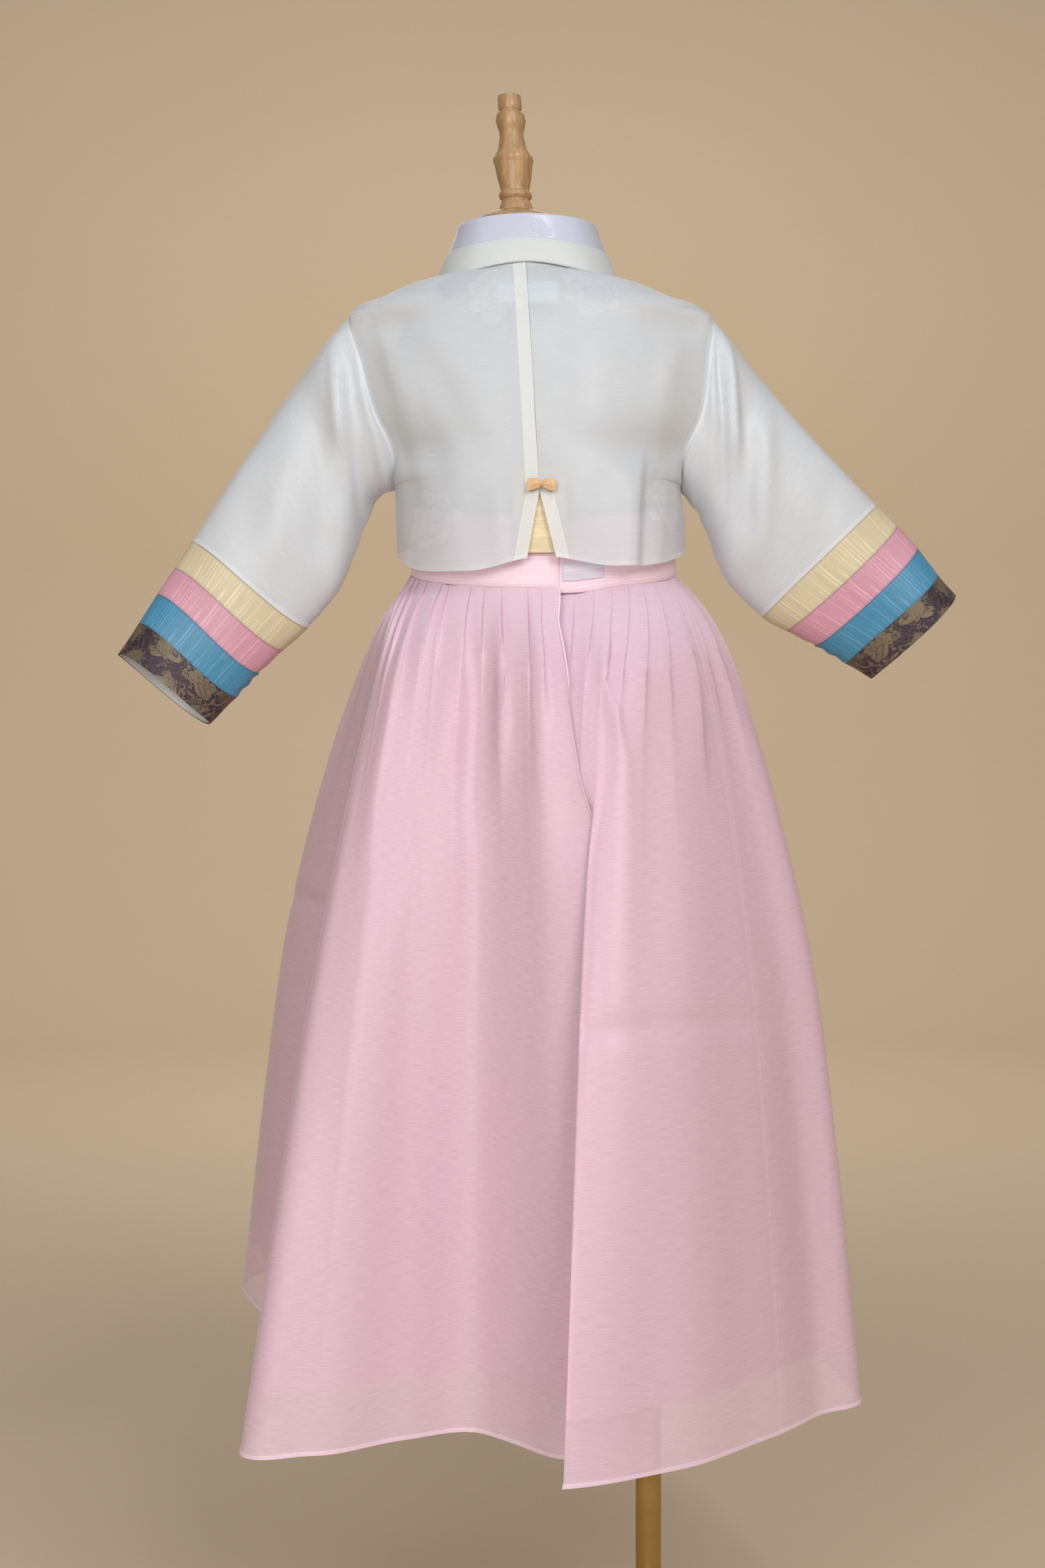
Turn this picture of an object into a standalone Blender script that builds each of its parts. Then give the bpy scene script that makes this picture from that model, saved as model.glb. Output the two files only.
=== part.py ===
"""A child's hanbok - a pleated wrap skirt (chima) and a short jacket (jeogori) - on a limbless dress form.

Metres, +Z up. The origin is the middle of the base's underside, on the pole's axis. The garment's front
faces -Y and the wearer's left is +X. Every cloth piece is a wall built about its middle surface: a grid
of points worked out from the tables below, moved half a thickness to each side and closed at its rims.
"""
import math

import bpy
import numpy as np

# ---- driving sizes -------------------------------------------------------------------------------
SEAM_GAP = 0.0003          # air between two pieces that are sewn edge to edge
ARMHOLE_GAP = 0.0011       # the same at the armhole, where the sleeve turns away from the body
JACKET_CLOTH = 0.0012
SKIRT_CLOTH = 0.0010
RIBBON = 0.0010
LABEL_CLOTH = 0.0010
COLLAR_CLOTH = 0.0014

# stand: the pole stands upright, the torso and its finial lean to the wearer's left
POLE_RADIUS = 0.011
POLE_FLANGE_RADIUS = 0.026
POLE_FLANGE_HEIGHT = 0.007
BASE_RADIUS = 0.150
BASE_TOP = 0.034
FORM_TOP = 1.340           # top of the finial
FORM_TOP_X = 0.1195
FORM_LEAN = math.tan(math.radians(3.6))
TORSO_BOTTOM = 0.685
FINIAL_BOTTOM = 1.2395
FINIAL_HEIGHT = FORM_TOP - FINIAL_BOTTOM

# the clothes hang on an axis of their own, a little off the form's
NECK_SEAM_Z = 1.184        # neck seam at the centre back
NECK_SEAM_X = 0.105
CLOTHES_LEAN = 0.056

# chima
SKIRT_CENTRE_X = 0.090
WAIST_HALF_WIDTH = 0.1125
WAIST_HALF_DEPTH = 0.0875
WAIST_SEAM_SIDE_Z = 0.929
WAIST_SEAM_TILT = 0.019    # the seam is this much lower at the back, and higher at the front
WAIST_RIGHT_END_DROP = 0.004
WAIST_GAP = 0.0010         # air between the band and the skirt, whose pleats slope away from it
BAND_HEIGHT = 0.060
BAND_UNDERLAP = 0.0022     # the right end of the band lies this far inside the left end
PLEATS = 48
PLEAT_DEPTH = 0.0030
PLEAT_SWELL = 0.0024       # added depth where the pleats open, a little below the waist
PLEAT_LAP = 0.15           # share of a pleat's pitch that its fold laps over the next pleat
PLEAT_UNDER = 0.5          # share of the cloth that is hidden under each fold
PLEAT_FADE = 0.30          # share of the drop at which the pleats have opened out
SKIRT_UNDERLAP = 0.0060    # the right end of the skirt lies this far inside the left end
TUCK_ANGLE = 336.0         # from here the right end passes in under the left one
TUCK_SPAN = 14.0
END_DROP_ANGLE = 320.0     # from here the seam falls to the right end's own height
END_DROP_SPAN = 30.0
STRIP_ANGLES = (335.0, 352.5)     # the fastening strip, behind the right end of the band
STRIP_HEIGHTS = (0.010, 0.025)    # above the waist seam

# jeogori
ARMHOLE_BOTTOM_Z = 1.003
ARMHOLE_TOP_Z = 1.150
ARMHOLE_HALF_DEPTH = 0.046
ARMHOLE_STEPS = 8
SIDE_SEAM_HALF_GAP = 0.0002
SECTION_POWER = 2.4        # how square a section of the body is
SLIT_TOP_Z = 0.988
SLIT_LEFT = 0.0132         # how far each side of the slit swings from the centre line at the hem
SLIT_RIGHT = 0.0102
FRONT_OVERLAP = 0.045      # the outer front passes the centre line by this much
NECKLINE_END_Z = 1.025
FRONT_INSET = 0.0050       # the inner front lies this far under the outer one
INSET_BEGINS = 0.052       # X at which the inner front starts to sink under the outer one
INSET_BEGINS_HIGH = 0.032  # the same at the collar's height
INSET_HIGH_Z = 1.10
INSET_RUN = 0.030
NECK_ROW_WIDTH = 0.006
BACK_COLUMNS = 14
FRONT_COLUMNS = 12
LABEL_HALF_WIDTH = 0.026   # the blank label inside the back of the neck
LABEL_HEIGHTS = (1.1465, 1.1560, 1.1660)
LABEL_INSIDE = 0.0028      # how far inside the backs it lies
UNDERLAY_HALF_WIDTH = 0.022
UNDERLAY_DEPTH = 0.0935
UNDERLAY_CURVE = 1.6       # how much it follows the back's roundness, per metre
UNDERLAY_HEIGHTS = (0.9385, 0.965, 0.990, 1.008)

# goreum, the tie at the front
KNOT_Y = -0.1115
KNOT_Z = 1.020
LOOP_LENGTH = 0.060
LOOP_WIDTH = 0.026
LOOP_THICKNESS = 0.006
TAIL_WIDTH = 0.030
TAIL_TOP_WIDTH = 0.010

def table(heads, *rows):
    """A small table as a dictionary of columns; the first column names the rows."""
    return {head: np.array(column) for head, column in zip(heads.split(), zip(*rows))}


# One row for each line that runs down the skirt from the waist, in order round the body from the left
# end of the cloth: the angle at the waist (0 is the centre back, 90 the wearer's left), the place at the
# hem about the skirt's middle, the hem's height, and how bell-shaped the line is (0 is straight).
SKIRT_LINES = table(
    "line angle x y z bell",
    ("left edge", -6, -0.050, 0.222, 0.236, 1.0),
    ("beside the edge", 6, -0.006, 0.196, 0.233, 1.0),
    ("left hollow", 27, 0.055, 0.140, 0.236, 0.9),
    ("left middle", 42, 0.112, 0.160, 0.236, 0.8),
    ("left swell", 60, 0.180, 0.192, 0.233, 0.65),
    ("left ridge", 80, 0.2365, 0.159, 0.233, 0.5),
    ("ridge underside", 87, 0.222, 0.108, 0.245, 0.6),
    ("side valley", 94, 0.205, 0.045, 0.268, 0.8),
    ("side rise", 102, 0.242, -0.032, 0.287, 0.9),
    ("far ridge", 111, 0.271, -0.100, 0.297, 0.95),
    ("front left", 126, 0.240, -0.172, 0.297, 1.0),
    ("front left dip", 143, 0.165, -0.205, 0.297, 1.0),
    ("front swell", 160, 0.100, -0.243, 0.295, 1.0),
    ("front dip", 176, 0.030, -0.228, 0.293, 1.0),
    ("front right swell", 192, -0.040, -0.248, 0.290, 1.0),
    ("front right dip", 208, -0.110, -0.215, 0.285, 1.0),
    ("front right", 226, -0.182, -0.188, 0.275, 1.0),
    ("right front", 245, -0.238, -0.112, 0.258, 1.0),
    ("right side", 261, -0.250, -0.035, 0.243, 1.0),
    ("right ridge", 274, -0.263, 0.048, 0.233, 1.0),
    ("right dip", 285, -0.222, 0.087, 0.233, 1.0),
    ("back right", 297, -0.171, 0.152, 0.233, 1.0),
    ("back swell", 308, -0.115, 0.214, 0.233, 1.0),
    ("back middle", 319, -0.062, 0.247, 0.233, 1.0),
    ("fold tip", 330, -0.0115, 0.2705, 0.233, 0.62),
    ("fold root", 344, -0.080, 0.215, 0.233, 1.0),
    ("under the left", 366, 0.002, 0.165, 0.238, 1.0),
    ("right edge", 390, 0.052, 0.112, 0.240, 1.0),
)
CREASED_LINES = ("left ridge", "far ridge", "fold tip", "fold root")

# Near the waist the right end lies flat under the left one; the fold beside the opening comes out further
# down. Above that place these lines stand in for those from the fold's tip on.
TUCKED_LINES = table(
    "line x y z bell",
    ("fold tip", -0.0316, 0.2367, 0.233, 1.0),
    ("fold root", -0.0156, 0.2090, 0.233, 1.0),
    ("under the left", 0.0078, 0.1880, 0.238, 1.0),
)
FOLD_BEGINS = 0.22         # share of the drop where the fold begins to come out
FOLD_GROWS = 0.12          # over this share of the drop

# The skirt is sewn from four widths of cloth; each reaches from one place along the cloth to another,
# counted in pleats from the left end.
SKIRT_WIDTHS = table(
    "width start end",
    ("chima_back_left", 0.5, 10.75),
    ("chima_side_left", 10.75, 23.75),
    ("chima_side_right", 23.75, 36.75),
    ("chima_back_right", 36.75, 48.0),
)
WIDTH_GAP = 0.0045         # half the gap of a seam between two widths, in pleats

# how far a bell-shaped line has spread at each share of its drop
SPREAD = table(
    "drop spread",
    (0.0, 0.0),
    (0.05, 0.17),
    (0.10, 0.295),
    (0.20, 0.455),
    (0.32, 0.600),
    (0.47, 0.745),
    (0.70, 0.875),
    (1.0, 1.0),
)
SKIRT_DROPS = (0.0, 0.02, 0.06, 0.12, 0.20, 0.30, 0.42, 0.56, 0.70, 0.85, 1.0)

# One row for each level of the jacket's body: heights at the centre back, centre front and side, how far
# the cloth reaches to each side, and how deep the body is behind and in front of the axis.
JACKET_LEVELS = table(
    "level back_z front_z side_z left right back front",
    ("hem", 0.935, 0.974, 0.950, 0.1235, 0.1230, 0.0985, 0.1030),
    ("side", 0.966, 0.988, 0.974, 0.1230, 0.1240, 0.0985, 0.1045),
    ("underarm", 1.003, 1.003, 1.003, 0.1220, 0.1220, 0.0970, 0.1030),
    ("armhole low", 1.030, 1.030, 1.030, 0.1200, 0.1250, 0.0960, 0.1000),
    ("armhole middle", 1.063, 1.063, 1.063, 0.1340, 0.1410, 0.0940, 0.0940),
    ("armhole high", 1.105, 1.107, 1.107, 0.1435, 0.1490, 0.0880, 0.0840),
    ("shoulder", 1.148, 1.149, 1.150, 0.1520, 0.1540, 0.0745, 0.0680),
    ("shoulder slope", 1.163, 1.160, 1.162, 0.1290, 0.1270, 0.0680, 0.0600),
    ("near the neck", 1.175, 1.169, 1.1715, 0.1060, 0.1040, 0.0620, 0.0530),
    ("neck", 1.184, 1.176, 1.179, 0.0765, 0.0750, 0.0570, 0.0460),
)
# the hem of each back hangs lower than its ends between the slit and the side seam, and turns up towards
# the seam as a power of the share of the way: the higher, the sharper the corner
HEM_SAG = {"left": 0.0110, "right": 0.0077}
HEM_CORNER = {"left": 12.0, "right": 5.0}
# Soft folds that stand out from the backs: the side, X from the clothes' axis at their top and foot,
# the heights between which they run, how far they stand out and how wide they are.
BACK_FOLDS = table(
    "fold hand top_x foot_x top_z foot_z rise width",
    ("hanging fold", -1, 0.088, 0.069, 1.050, 0.915, 0.0045, 0.010),
    ("right of the sleeve", -1, 0.128, 0.098, 1.145, 1.000, 0.0030, 0.012),
    ("left of the sleeve", 1, 0.130, 0.092, 1.150, 0.985, 0.0035, 0.013),
    ("below the blade", 1, 0.060, 0.078, 1.060, 0.950, 0.0020, 0.014),
)

# One row for each section of a sleeve, from the armhole to the cuff: the place of its top and bottom
# edges (X from the origin), the half thickness, how far it stands back or forward, and how far the side
# at the wearer's back is drawn up along the sleeve.
SLEEVE_LEFT = table(
    "section top_x top_z bottom_x bottom_z half y drawn_up",
    ("armhole", 0.2550, 1.1500, 0.2170, 1.0030, 0.046, 0.000, 0.000),
    ("fall", 0.2817, 1.1200, 0.2355, 0.9950, 0.050, 0.000, 0.001),
    ("upper", 0.3060, 1.0850, 0.2434, 0.9700, 0.043, 0.002, 0.002),
    ("middle", 0.3310, 1.0450, 0.2520, 0.9430, 0.040, 0.005, 0.002),
    ("lower", 0.3545, 1.0120, 0.2665, 0.9140, 0.036, 0.009, 0.001),
    ("yellow seam", 0.3897, 0.9557, 0.2914, 0.8837, 0.030, 0.014, -0.001),
    ("pink seam", 0.4034, 0.9317, 0.3114, 0.8637, 0.028, 0.017, 0.000),
    ("blue seam", 0.4177, 0.9089, 0.3314, 0.8443, 0.026, 0.020, 0.001),
    ("brocade seam", 0.4337, 0.8849, 0.3514, 0.8243, 0.024, 0.023, 0.002),
    ("cuff", 0.4503, 0.8591, 0.3726, 0.8020, 0.023, 0.026, 0.005),
)
SLEEVE_RIGHT = table(
    "section top_x top_z bottom_x bottom_z half y drawn_up",
    ("armhole", -0.0510, 1.1500, -0.0270, 1.0030, 0.046, 0.000, 0.000),
    ("fall", -0.0740, 1.1240, -0.0434, 0.9830, 0.049, 0.000, 0.000),
    ("upper", -0.1069, 1.0830, -0.0520, 0.9597, 0.043, 0.000, 0.000),
    ("middle", -0.1400, 1.0450, -0.0611, 0.9340, 0.040, -0.001, -0.001),
    ("lower", -0.1660, 1.0190, -0.0726, 0.9180, 0.036, -0.002, -0.002),
    ("yellow seam", -0.1966, 0.9889, -0.0989, 0.8940, 0.030, -0.004, -0.003),
    ("pink seam", -0.2126, 0.9717, -0.1189, 0.8814, 0.028, -0.005, -0.003),
    ("blue seam", -0.2297, 0.9529, -0.1440, 0.8689, 0.026, -0.006, -0.004),
    ("brocade seam", -0.2486, 0.9306, -0.1714, 0.8546, 0.024, -0.007, -0.004),
    ("cuff", -0.2646, 0.9129, -0.1931, 0.8414, 0.022, -0.008, -0.004),
)
SLEEVE_BANDS = ("yellow", "pink", "blue", "brocade")

# One row for each station of the collar, from the centre back round to its lower end at the front: the
# place of its seam with the jacket and of its top edge, both from the clothes' axis at the neck.
COLLAR = table(
    "station seam_x seam_y seam_z top_x top_y top_z",
    ("centre back", 0.000, 0.0575, 1.1850, 0.000, 0.0450, 1.2275),
    ("back corner", 0.050, 0.0440, 1.1835, 0.040, 0.0345, 1.2270),
    ("side", 0.0765, 0.0000, 1.1818, 0.0585, 0.000, 1.2265),
    ("front corner", 0.065, -0.0510, 1.1690, 0.045, -0.0400, 1.2080),
    ("throat", 0.040, -0.0740, 1.1380, 0.014, -0.0640, 1.1680),
    ("chest", 0.001, -0.0970, 1.0860, -0.029, -0.0850, 1.1160),
    ("lower end", -0.043, -0.1030, 1.0300, -0.074, -0.0930, 1.0580),
)
COLLAR_ON_CHEST_Z = 1.165  # below this the collar lies on the fronts
COLLAR_SHOULDER = 2.0      # station beyond which the inner side of the collar begins to lie lower
COLLAR_LIFT = 0.0020
GIT_SHARE = 0.5            # share of the collar's height that is git; the rest is satin
COLLAR_STEPS = 3           # columns between two stations
COLLAR_SEAM_SHARE = 0.006  # half the gap between git and satin, as a share of the height

# rings of the torso: height, half width, half depth
TORSO = table(
    "ring z half_width half_depth",
    ("bottom", TORSO_BOTTOM, 0.100, 0.080),
    ("bottom edge", 0.692, 0.106, 0.085),
    ("hip", 0.740, 0.110, 0.089),
    ("below the waist", 0.810, 0.104, 0.082),
    ("waist", 0.865, 0.097, 0.074),
    ("rib", 0.930, 0.097, 0.074),
    ("chest", 1.000, 0.101, 0.077),
    ("armpit", 1.070, 0.108, 0.075),
    ("shoulder blade", 1.115, 0.112, 0.064),
    ("shoulder", 1.140, 0.102, 0.053),
    ("shoulder top", 1.155, 0.080, 0.046),
    ("neck root", 1.168, 0.056, 0.042),
    ("neck", 1.190, 0.042, 0.040),
    ("neck top", 1.2250, 0.041, 0.039),
)
# turned profiles: height and radius
FINIAL = table(
    "ring z radius",
    ("foot", 0.0000, 0.0155),
    ("cone", 0.0080, 0.0130),
    ("groove", 0.0100, 0.0122),
    ("lower bead", 0.0125, 0.0141),
    ("lower bead top", 0.0160, 0.0141),
    ("waist", 0.0190, 0.0125),
    ("urn", 0.0290, 0.0145),
    ("urn shoulder", 0.0400, 0.0163),
    ("bead", 0.0440, 0.0173),
    ("bead top", 0.0470, 0.0160),
    ("flare", 0.0530, 0.0128),
    ("neck", 0.0650, 0.0103),
    ("neck top", 0.0690, 0.0104),
    ("ball low", 0.0730, 0.0118),
    ("ball", 0.0785, 0.0130),
    ("ball high", 0.0840, 0.0118),
    ("upper groove", 0.0865, 0.0094),
    ("button", 0.0885, 0.0100),
    ("button side", 0.0985, 0.0100),
    ("button top", FINIAL_HEIGHT, 0.0088),
)
CAP = table(
    "ring z radius",
    ("underside", 1.2255, 0.0330),
    ("edge low", 1.2270, 0.0360),
    ("edge high", 1.2310, 0.0360),
    ("dome", 1.2350, 0.0300),
    ("seat", 1.2390, 0.0180),
)
BASE = table(
    "ring z radius",
    ("underside", 0.0000, BASE_RADIUS - 0.002),
    ("edge low", 0.0020, BASE_RADIUS),
    ("edge high", 0.0080, BASE_RADIUS),
    ("rim", 0.0110, BASE_RADIUS - 0.004),
    ("dome low", 0.0150, 0.110),
    ("dome high", 0.0200, 0.045),
    ("collar foot", 0.0220, 0.026),
    ("collar", 0.0300, 0.022),
    ("collar top", BASE_TOP, 0.0205),
)

# colours (linear), roughness and metallic value of each finish
FINISHES = {
    "organza_white": ((0.72, 0.73, 0.74), 0.55, 0.0),
    "organza_pink": ((0.72, 0.45, 0.53), 0.55, 0.0),
    "yellow": ((0.72, 0.58, 0.36), 0.5, 0.0),
    "pink": ((0.68, 0.33, 0.42), 0.5, 0.0),
    "blue": ((0.07, 0.26, 0.44), 0.45, 0.0),
    "brocade": ((0.06, 0.035, 0.045), 0.5, 0.0),
    "cream": ((0.76, 0.72, 0.63), 0.55, 0.0),
    "satin": ((0.58, 0.60, 0.72), 0.3, 0.0),
    "bow": ((0.72, 0.40, 0.20), 0.5, 0.0),
    "label": ((0.70, 0.76, 0.78), 0.5, 0.0),
    "form_cloth": ((0.60, 0.58, 0.55), 0.85, 0.0),
    "wood": ((0.48, 0.27, 0.12), 0.45, 0.0),
    "brass": ((0.55, 0.36, 0.13), 0.25, 1.0),
}


# ---- shared geometry -----------------------------------------------------------------------------
def smooth(value):
    """0 below 0, 1 above 1, and an even S between."""
    value = np.clip(value, 0.0, 1.0)
    return value * value * (3.0 - 2.0 * value)


def curve(stations, values, at):
    """The smooth curve through the given values: cubic steps with slopes from their neighbours."""
    stations = np.asarray(stations, float)
    values = np.asarray(values, float)
    at = np.clip(np.asarray(at, float), stations[0], stations[-1])
    slopes = np.gradient(values, stations)
    index = np.clip(np.searchsorted(stations, at, side="right") - 1, 0, len(stations) - 2)
    step = stations[index + 1] - stations[index]
    u = (at - stations[index]) / step
    start = (1 + 2 * u) * (1 - u) ** 2 * values[index] + u * (1 - u) ** 2 * step * slopes[index]
    end = u * u * (3 - 2 * u) * values[index + 1] + u * u * (u - 1) * step * slopes[index + 1]
    return start + end


def unit(vectors):
    """Vectors of length 1."""
    return vectors / np.maximum(np.linalg.norm(vectors, axis=-1, keepdims=True), 1e-12)


def outward(middle, closed):
    """Normals of a grid of rows, longer at a sharp fold so that a wall keeps its thickness round it."""
    if closed:
        ahead = np.roll(middle, -1, axis=1) - middle
        behind = middle - np.roll(middle, 1, axis=1)
    else:
        steps = np.diff(middle, axis=1)
        ahead = np.concatenate([steps, steps[:, -1:]], axis=1)
        behind = np.concatenate([steps[:, :1], steps], axis=1)
    along = np.gradient(middle, axis=0)
    after = unit(np.cross(ahead, along))
    mean = unit(unit(np.cross(behind, along)) + after)
    share = np.clip(np.sum(mean * after, axis=-1, keepdims=True), 0.5, 1.0)
    return mean / share


def clothes_x(z):
    """X of the clothes' own axis at a height."""
    return NECK_SEAM_X - CLOTHES_LEAN * (NECK_SEAM_Z - z)


def form_x(z):
    """X of the leaning form's axis at a height."""
    return FORM_TOP_X - FORM_LEAN * (FORM_TOP - z)


# ---- making objects ------------------------------------------------------------------------------
def clear_scene():
    """Remove whatever the scene holds."""
    for old in list(bpy.data.objects):
        bpy.data.objects.remove(old, do_unlink=True)


def finish_material(name):
    """The Principled material of a finish, made once."""
    found = bpy.data.materials.get(name)
    if found:
        return found
    colour, roughness, metallic = FINISHES[name]
    made = bpy.data.materials.new(name)
    made.use_nodes = True
    shader = made.node_tree.nodes["Principled BSDF"]
    shader.inputs["Base Color"].default_value = (*colour, 1.0)
    shader.inputs["Roughness"].default_value = roughness
    shader.inputs["Metallic"].default_value = metallic
    return made


def signed_volume(points, faces):
    """Volume that the faces enclose; negative where they point inwards."""
    total = 0.0
    for face in faces:
        first = points[face[0]]
        for second, third in zip(face[1:-1], face[2:]):
            total += np.dot(first, np.cross(points[second], points[third]))
    return total / 6.0


def add_solid(name, points, faces, finish):
    """One named object from points and faces, with its faces pointing out."""
    points = np.asarray(points, float)
    if signed_volume(points, faces) < 0:
        faces = [tuple(reversed(face)) for face in faces]
    mesh = bpy.data.meshes.new(name)
    mesh.from_pydata([tuple(point) for point in points], [], faces)
    mesh.update()
    mesh.shade_smooth()
    mesh.set_sharp_from_angle(angle=math.radians(50))
    solid = bpy.data.objects.new(name, mesh)
    mesh.materials.append(finish_material(finish))
    bpy.context.scene.collection.objects.link(solid)
    return solid


def wall(name, middle, thickness, finish, closed=False):
    """A closed wall about a grid of middle points: two skins half a thickness off, joined at the rims."""
    rows, columns = middle.shape[:2]
    normal = outward(middle, closed)
    skins = [middle + normal * thickness / 2, middle - normal * thickness / 2]
    points = np.concatenate([skin.reshape(-1, 3) for skin in skins])
    lower_skin = rows * columns
    spans = columns if closed else columns - 1

    def at(row, column):
        return row * columns + column % columns

    faces = []
    for row in range(rows - 1):
        for column in range(spans):
            quad = (at(row, column), at(row, column + 1), at(row + 1, column + 1), at(row + 1, column))
            faces.append(quad)
            faces.append(tuple(corner + lower_skin for corner in reversed(quad)))
    rims = [[at(0, column) for column in range(spans + 1)]]
    rims.append([at(rows - 1, column) for column in range(spans, -1, -1)])
    if not closed:
        rims.append([at(row, columns - 1) for row in range(rows)])
        rims.append([at(row, 0) for row in range(rows - 1, -1, -1)])
    for rim in rims:
        for near, far in zip(rim[:-1], rim[1:]):
            faces.append((far, near, near + lower_skin, far + lower_skin))
    return add_solid(name, points, faces, finish)


def lofted(name, rings, finish):
    """A solid through closed rings of equal length, with a flat cap on each end."""
    rings = np.asarray(rings, float)
    count, around = rings.shape[:2]
    faces = []
    for ring in range(count - 1):
        for step in range(around):
            following = (step + 1) % around
            low, high = ring * around, (ring + 1) * around
            faces.append((low + step, low + following, high + following, high + step))
    faces.append(tuple(range(around - 1, -1, -1)))
    faces.append(tuple((count - 1) * around + step for step in range(around)))
    return add_solid(name, rings.reshape(-1, 3), faces, finish)


def level_rings(heights, half_widths, half_depths, centre, around):
    """Level ellipses at the given heights about centre(height), an X value."""
    turn = np.arange(around) * 2 * math.pi / around
    rings = []
    for z, half_width, half_depth in zip(heights, half_widths, half_depths):
        x = centre(z) + half_width * np.cos(turn)
        y = half_depth * np.sin(turn)
        rings.append(np.stack([x, y, np.full(around, z)], axis=1))
    return rings


# ---- the stand -----------------------------------------------------------------------------------
def build_stand():
    """Base, pole with its flange, torso, neck cap and finial."""
    lofted("base", level_rings(BASE["z"], BASE["radius"], BASE["radius"], lambda z: 0.0, 40), "brass")
    flange_z = TORSO_BOTTOM - SEAM_GAP - POLE_FLANGE_HEIGHT
    heights = (BASE_TOP + SEAM_GAP, flange_z, flange_z + 0.001, TORSO_BOTTOM - SEAM_GAP)
    radii = (POLE_RADIUS, POLE_RADIUS, POLE_FLANGE_RADIUS, POLE_FLANGE_RADIUS)
    lofted("pole", level_rings(heights, radii, radii, lambda z: 0.0, 20), "brass")
    torso = level_rings(TORSO["z"], TORSO["half_width"], TORSO["half_depth"], form_x, 28)
    lofted("torso", torso, "form_cloth")
    lofted("neck_cap", level_rings(CAP["z"], CAP["radius"], CAP["radius"], form_x, 28), "wood")
    finial_z = FINIAL_BOTTOM + FINIAL["z"]
    lofted("finial", level_rings(finial_z, FINIAL["radius"], FINIAL["radius"], form_x, 16), "wood")


# ---- the chima -----------------------------------------------------------------------------------
def waist_seam_z(angle):
    """Height of the waist seam at an angle round the body, in degrees from the centre back."""
    tilt = WAIST_SEAM_TILT * np.cos(np.radians(angle))
    return WAIST_SEAM_SIDE_Z - tilt - WAIST_RIGHT_END_DROP * smooth((angle - END_DROP_ANGLE) / END_DROP_SPAN)


def waist_ring(angle, outwards, underlap):
    """X and Y of the waist at an angle, moved outwards; the right end tucks inside by the underlap."""
    turn = np.radians(angle)
    grow = outwards - underlap * smooth((angle - TUCK_ANGLE) / TUCK_SPAN)
    x = SKIRT_CENTRE_X + (WAIST_HALF_WIDTH + grow) * np.sin(turn)
    y = (WAIST_HALF_DEPTH + grow) * np.cos(turn)
    return x, y


def skirt_columns(first, last):
    """Where the columns of one width lie along the cloth, in pleats: two a pleat, and every crease."""
    start = SKIRT_LINES["angle"][0]
    pitch = (SKIRT_LINES["angle"][-1] - start) / PLEATS
    creases = [
        (angle - start) / pitch + PLEAT_UNDER
        for line, angle in zip(SKIRT_LINES["line"], SKIRT_LINES["angle"])
        if line in CREASED_LINES
    ]
    inner = np.union1d(np.arange(0.0, PLEATS, PLEAT_UNDER), np.round(creases, 3))
    return np.concatenate([[first], inner[(inner > first + 0.02) & (inner < last - 0.02)], [last]])


def hem_lines(angle, drop):
    """What each point of the waist heads for at a share of the drop, along the lines of the skirt."""
    out = smooth((drop - FOLD_BEGINS) / FOLD_GROWS)
    stand_in = [list(SKIRT_LINES["line"]).index(line) for line in TUCKED_LINES["line"]]
    found = {}
    for key in ("x", "y", "z", "bell"):
        tucked = np.array(SKIRT_LINES[key], float)
        tucked[stand_in] = TUCKED_LINES[key]
        tucked = curve(SKIRT_LINES["angle"], tucked, angle)
        found[key] = tucked + (curve(SKIRT_LINES["angle"], SKIRT_LINES[key], angle) - tucked) * out
    return found


def skirt_middle(cloth):
    """Middle points of the skirt: a row for each drop, a column for each given place along the cloth.

    At the waist the cloth runs round the waist ring in knife pleats, each a rising ply that folds back
    over the next. Going down, the pleats open and each line of SKIRT_LINES carries its point of the
    waist out to its point of the hem, along a straight line in plan and a bell curve in the drop.
    """
    start = SKIRT_LINES["angle"][0]
    end = SKIRT_LINES["angle"][-1]
    pitch = (end - start) / PLEATS
    whole = np.floor(cloth)
    share = cloth - whole
    folding = share < PLEAT_UNDER
    rising = np.where(folding, share / PLEAT_UNDER, (1 - share) / (1 - PLEAT_UNDER))
    run = np.where(folding, 0.0, (share - PLEAT_UNDER) / (1 - PLEAT_UNDER))
    pleated = whole + np.where(folding, -PLEAT_LAP * rising, -PLEAT_LAP + (1 + PLEAT_LAP) * run)
    opened = cloth - PLEAT_UNDER
    rows = []
    for drop in SKIRT_DROPS:
        open_share = smooth(drop / PLEAT_FADE)
        place = pleated + (opened - pleated) * open_share
        angle = np.clip(start + pitch * place, start, end)
        depth = (PLEAT_DEPTH + PLEAT_SWELL * smooth(drop / 0.08)) * (1 - open_share)
        waist_x, waist_y = waist_ring(angle, depth * rising, SKIRT_UNDERLAP)
        hem = hem_lines(angle, drop)
        bell_spread = curve(SPREAD["drop"], SPREAD["spread"], drop)
        spread = drop + (bell_spread - drop) * hem["bell"]
        top_z = waist_seam_z(angle) - WAIST_GAP
        x = waist_x + (SKIRT_CENTRE_X + hem["x"] - waist_x) * spread
        y = waist_y + (hem["y"] - waist_y) * spread
        rows.append(np.stack([x, y, top_z + (hem["z"] - top_z) * drop], axis=1))
    return np.array(rows)


def band_middle(angles, low, high, outwards):
    """Middle points of a strip round the waist between two heights above its seam."""
    x, y = waist_ring(angles, outwards, BAND_UNDERLAP)
    seam_z = waist_seam_z(angles)
    heights = (low, (low + high) / 2, high)
    return np.array([np.stack([x, y, seam_z + height], axis=1) for height in heights])


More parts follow.
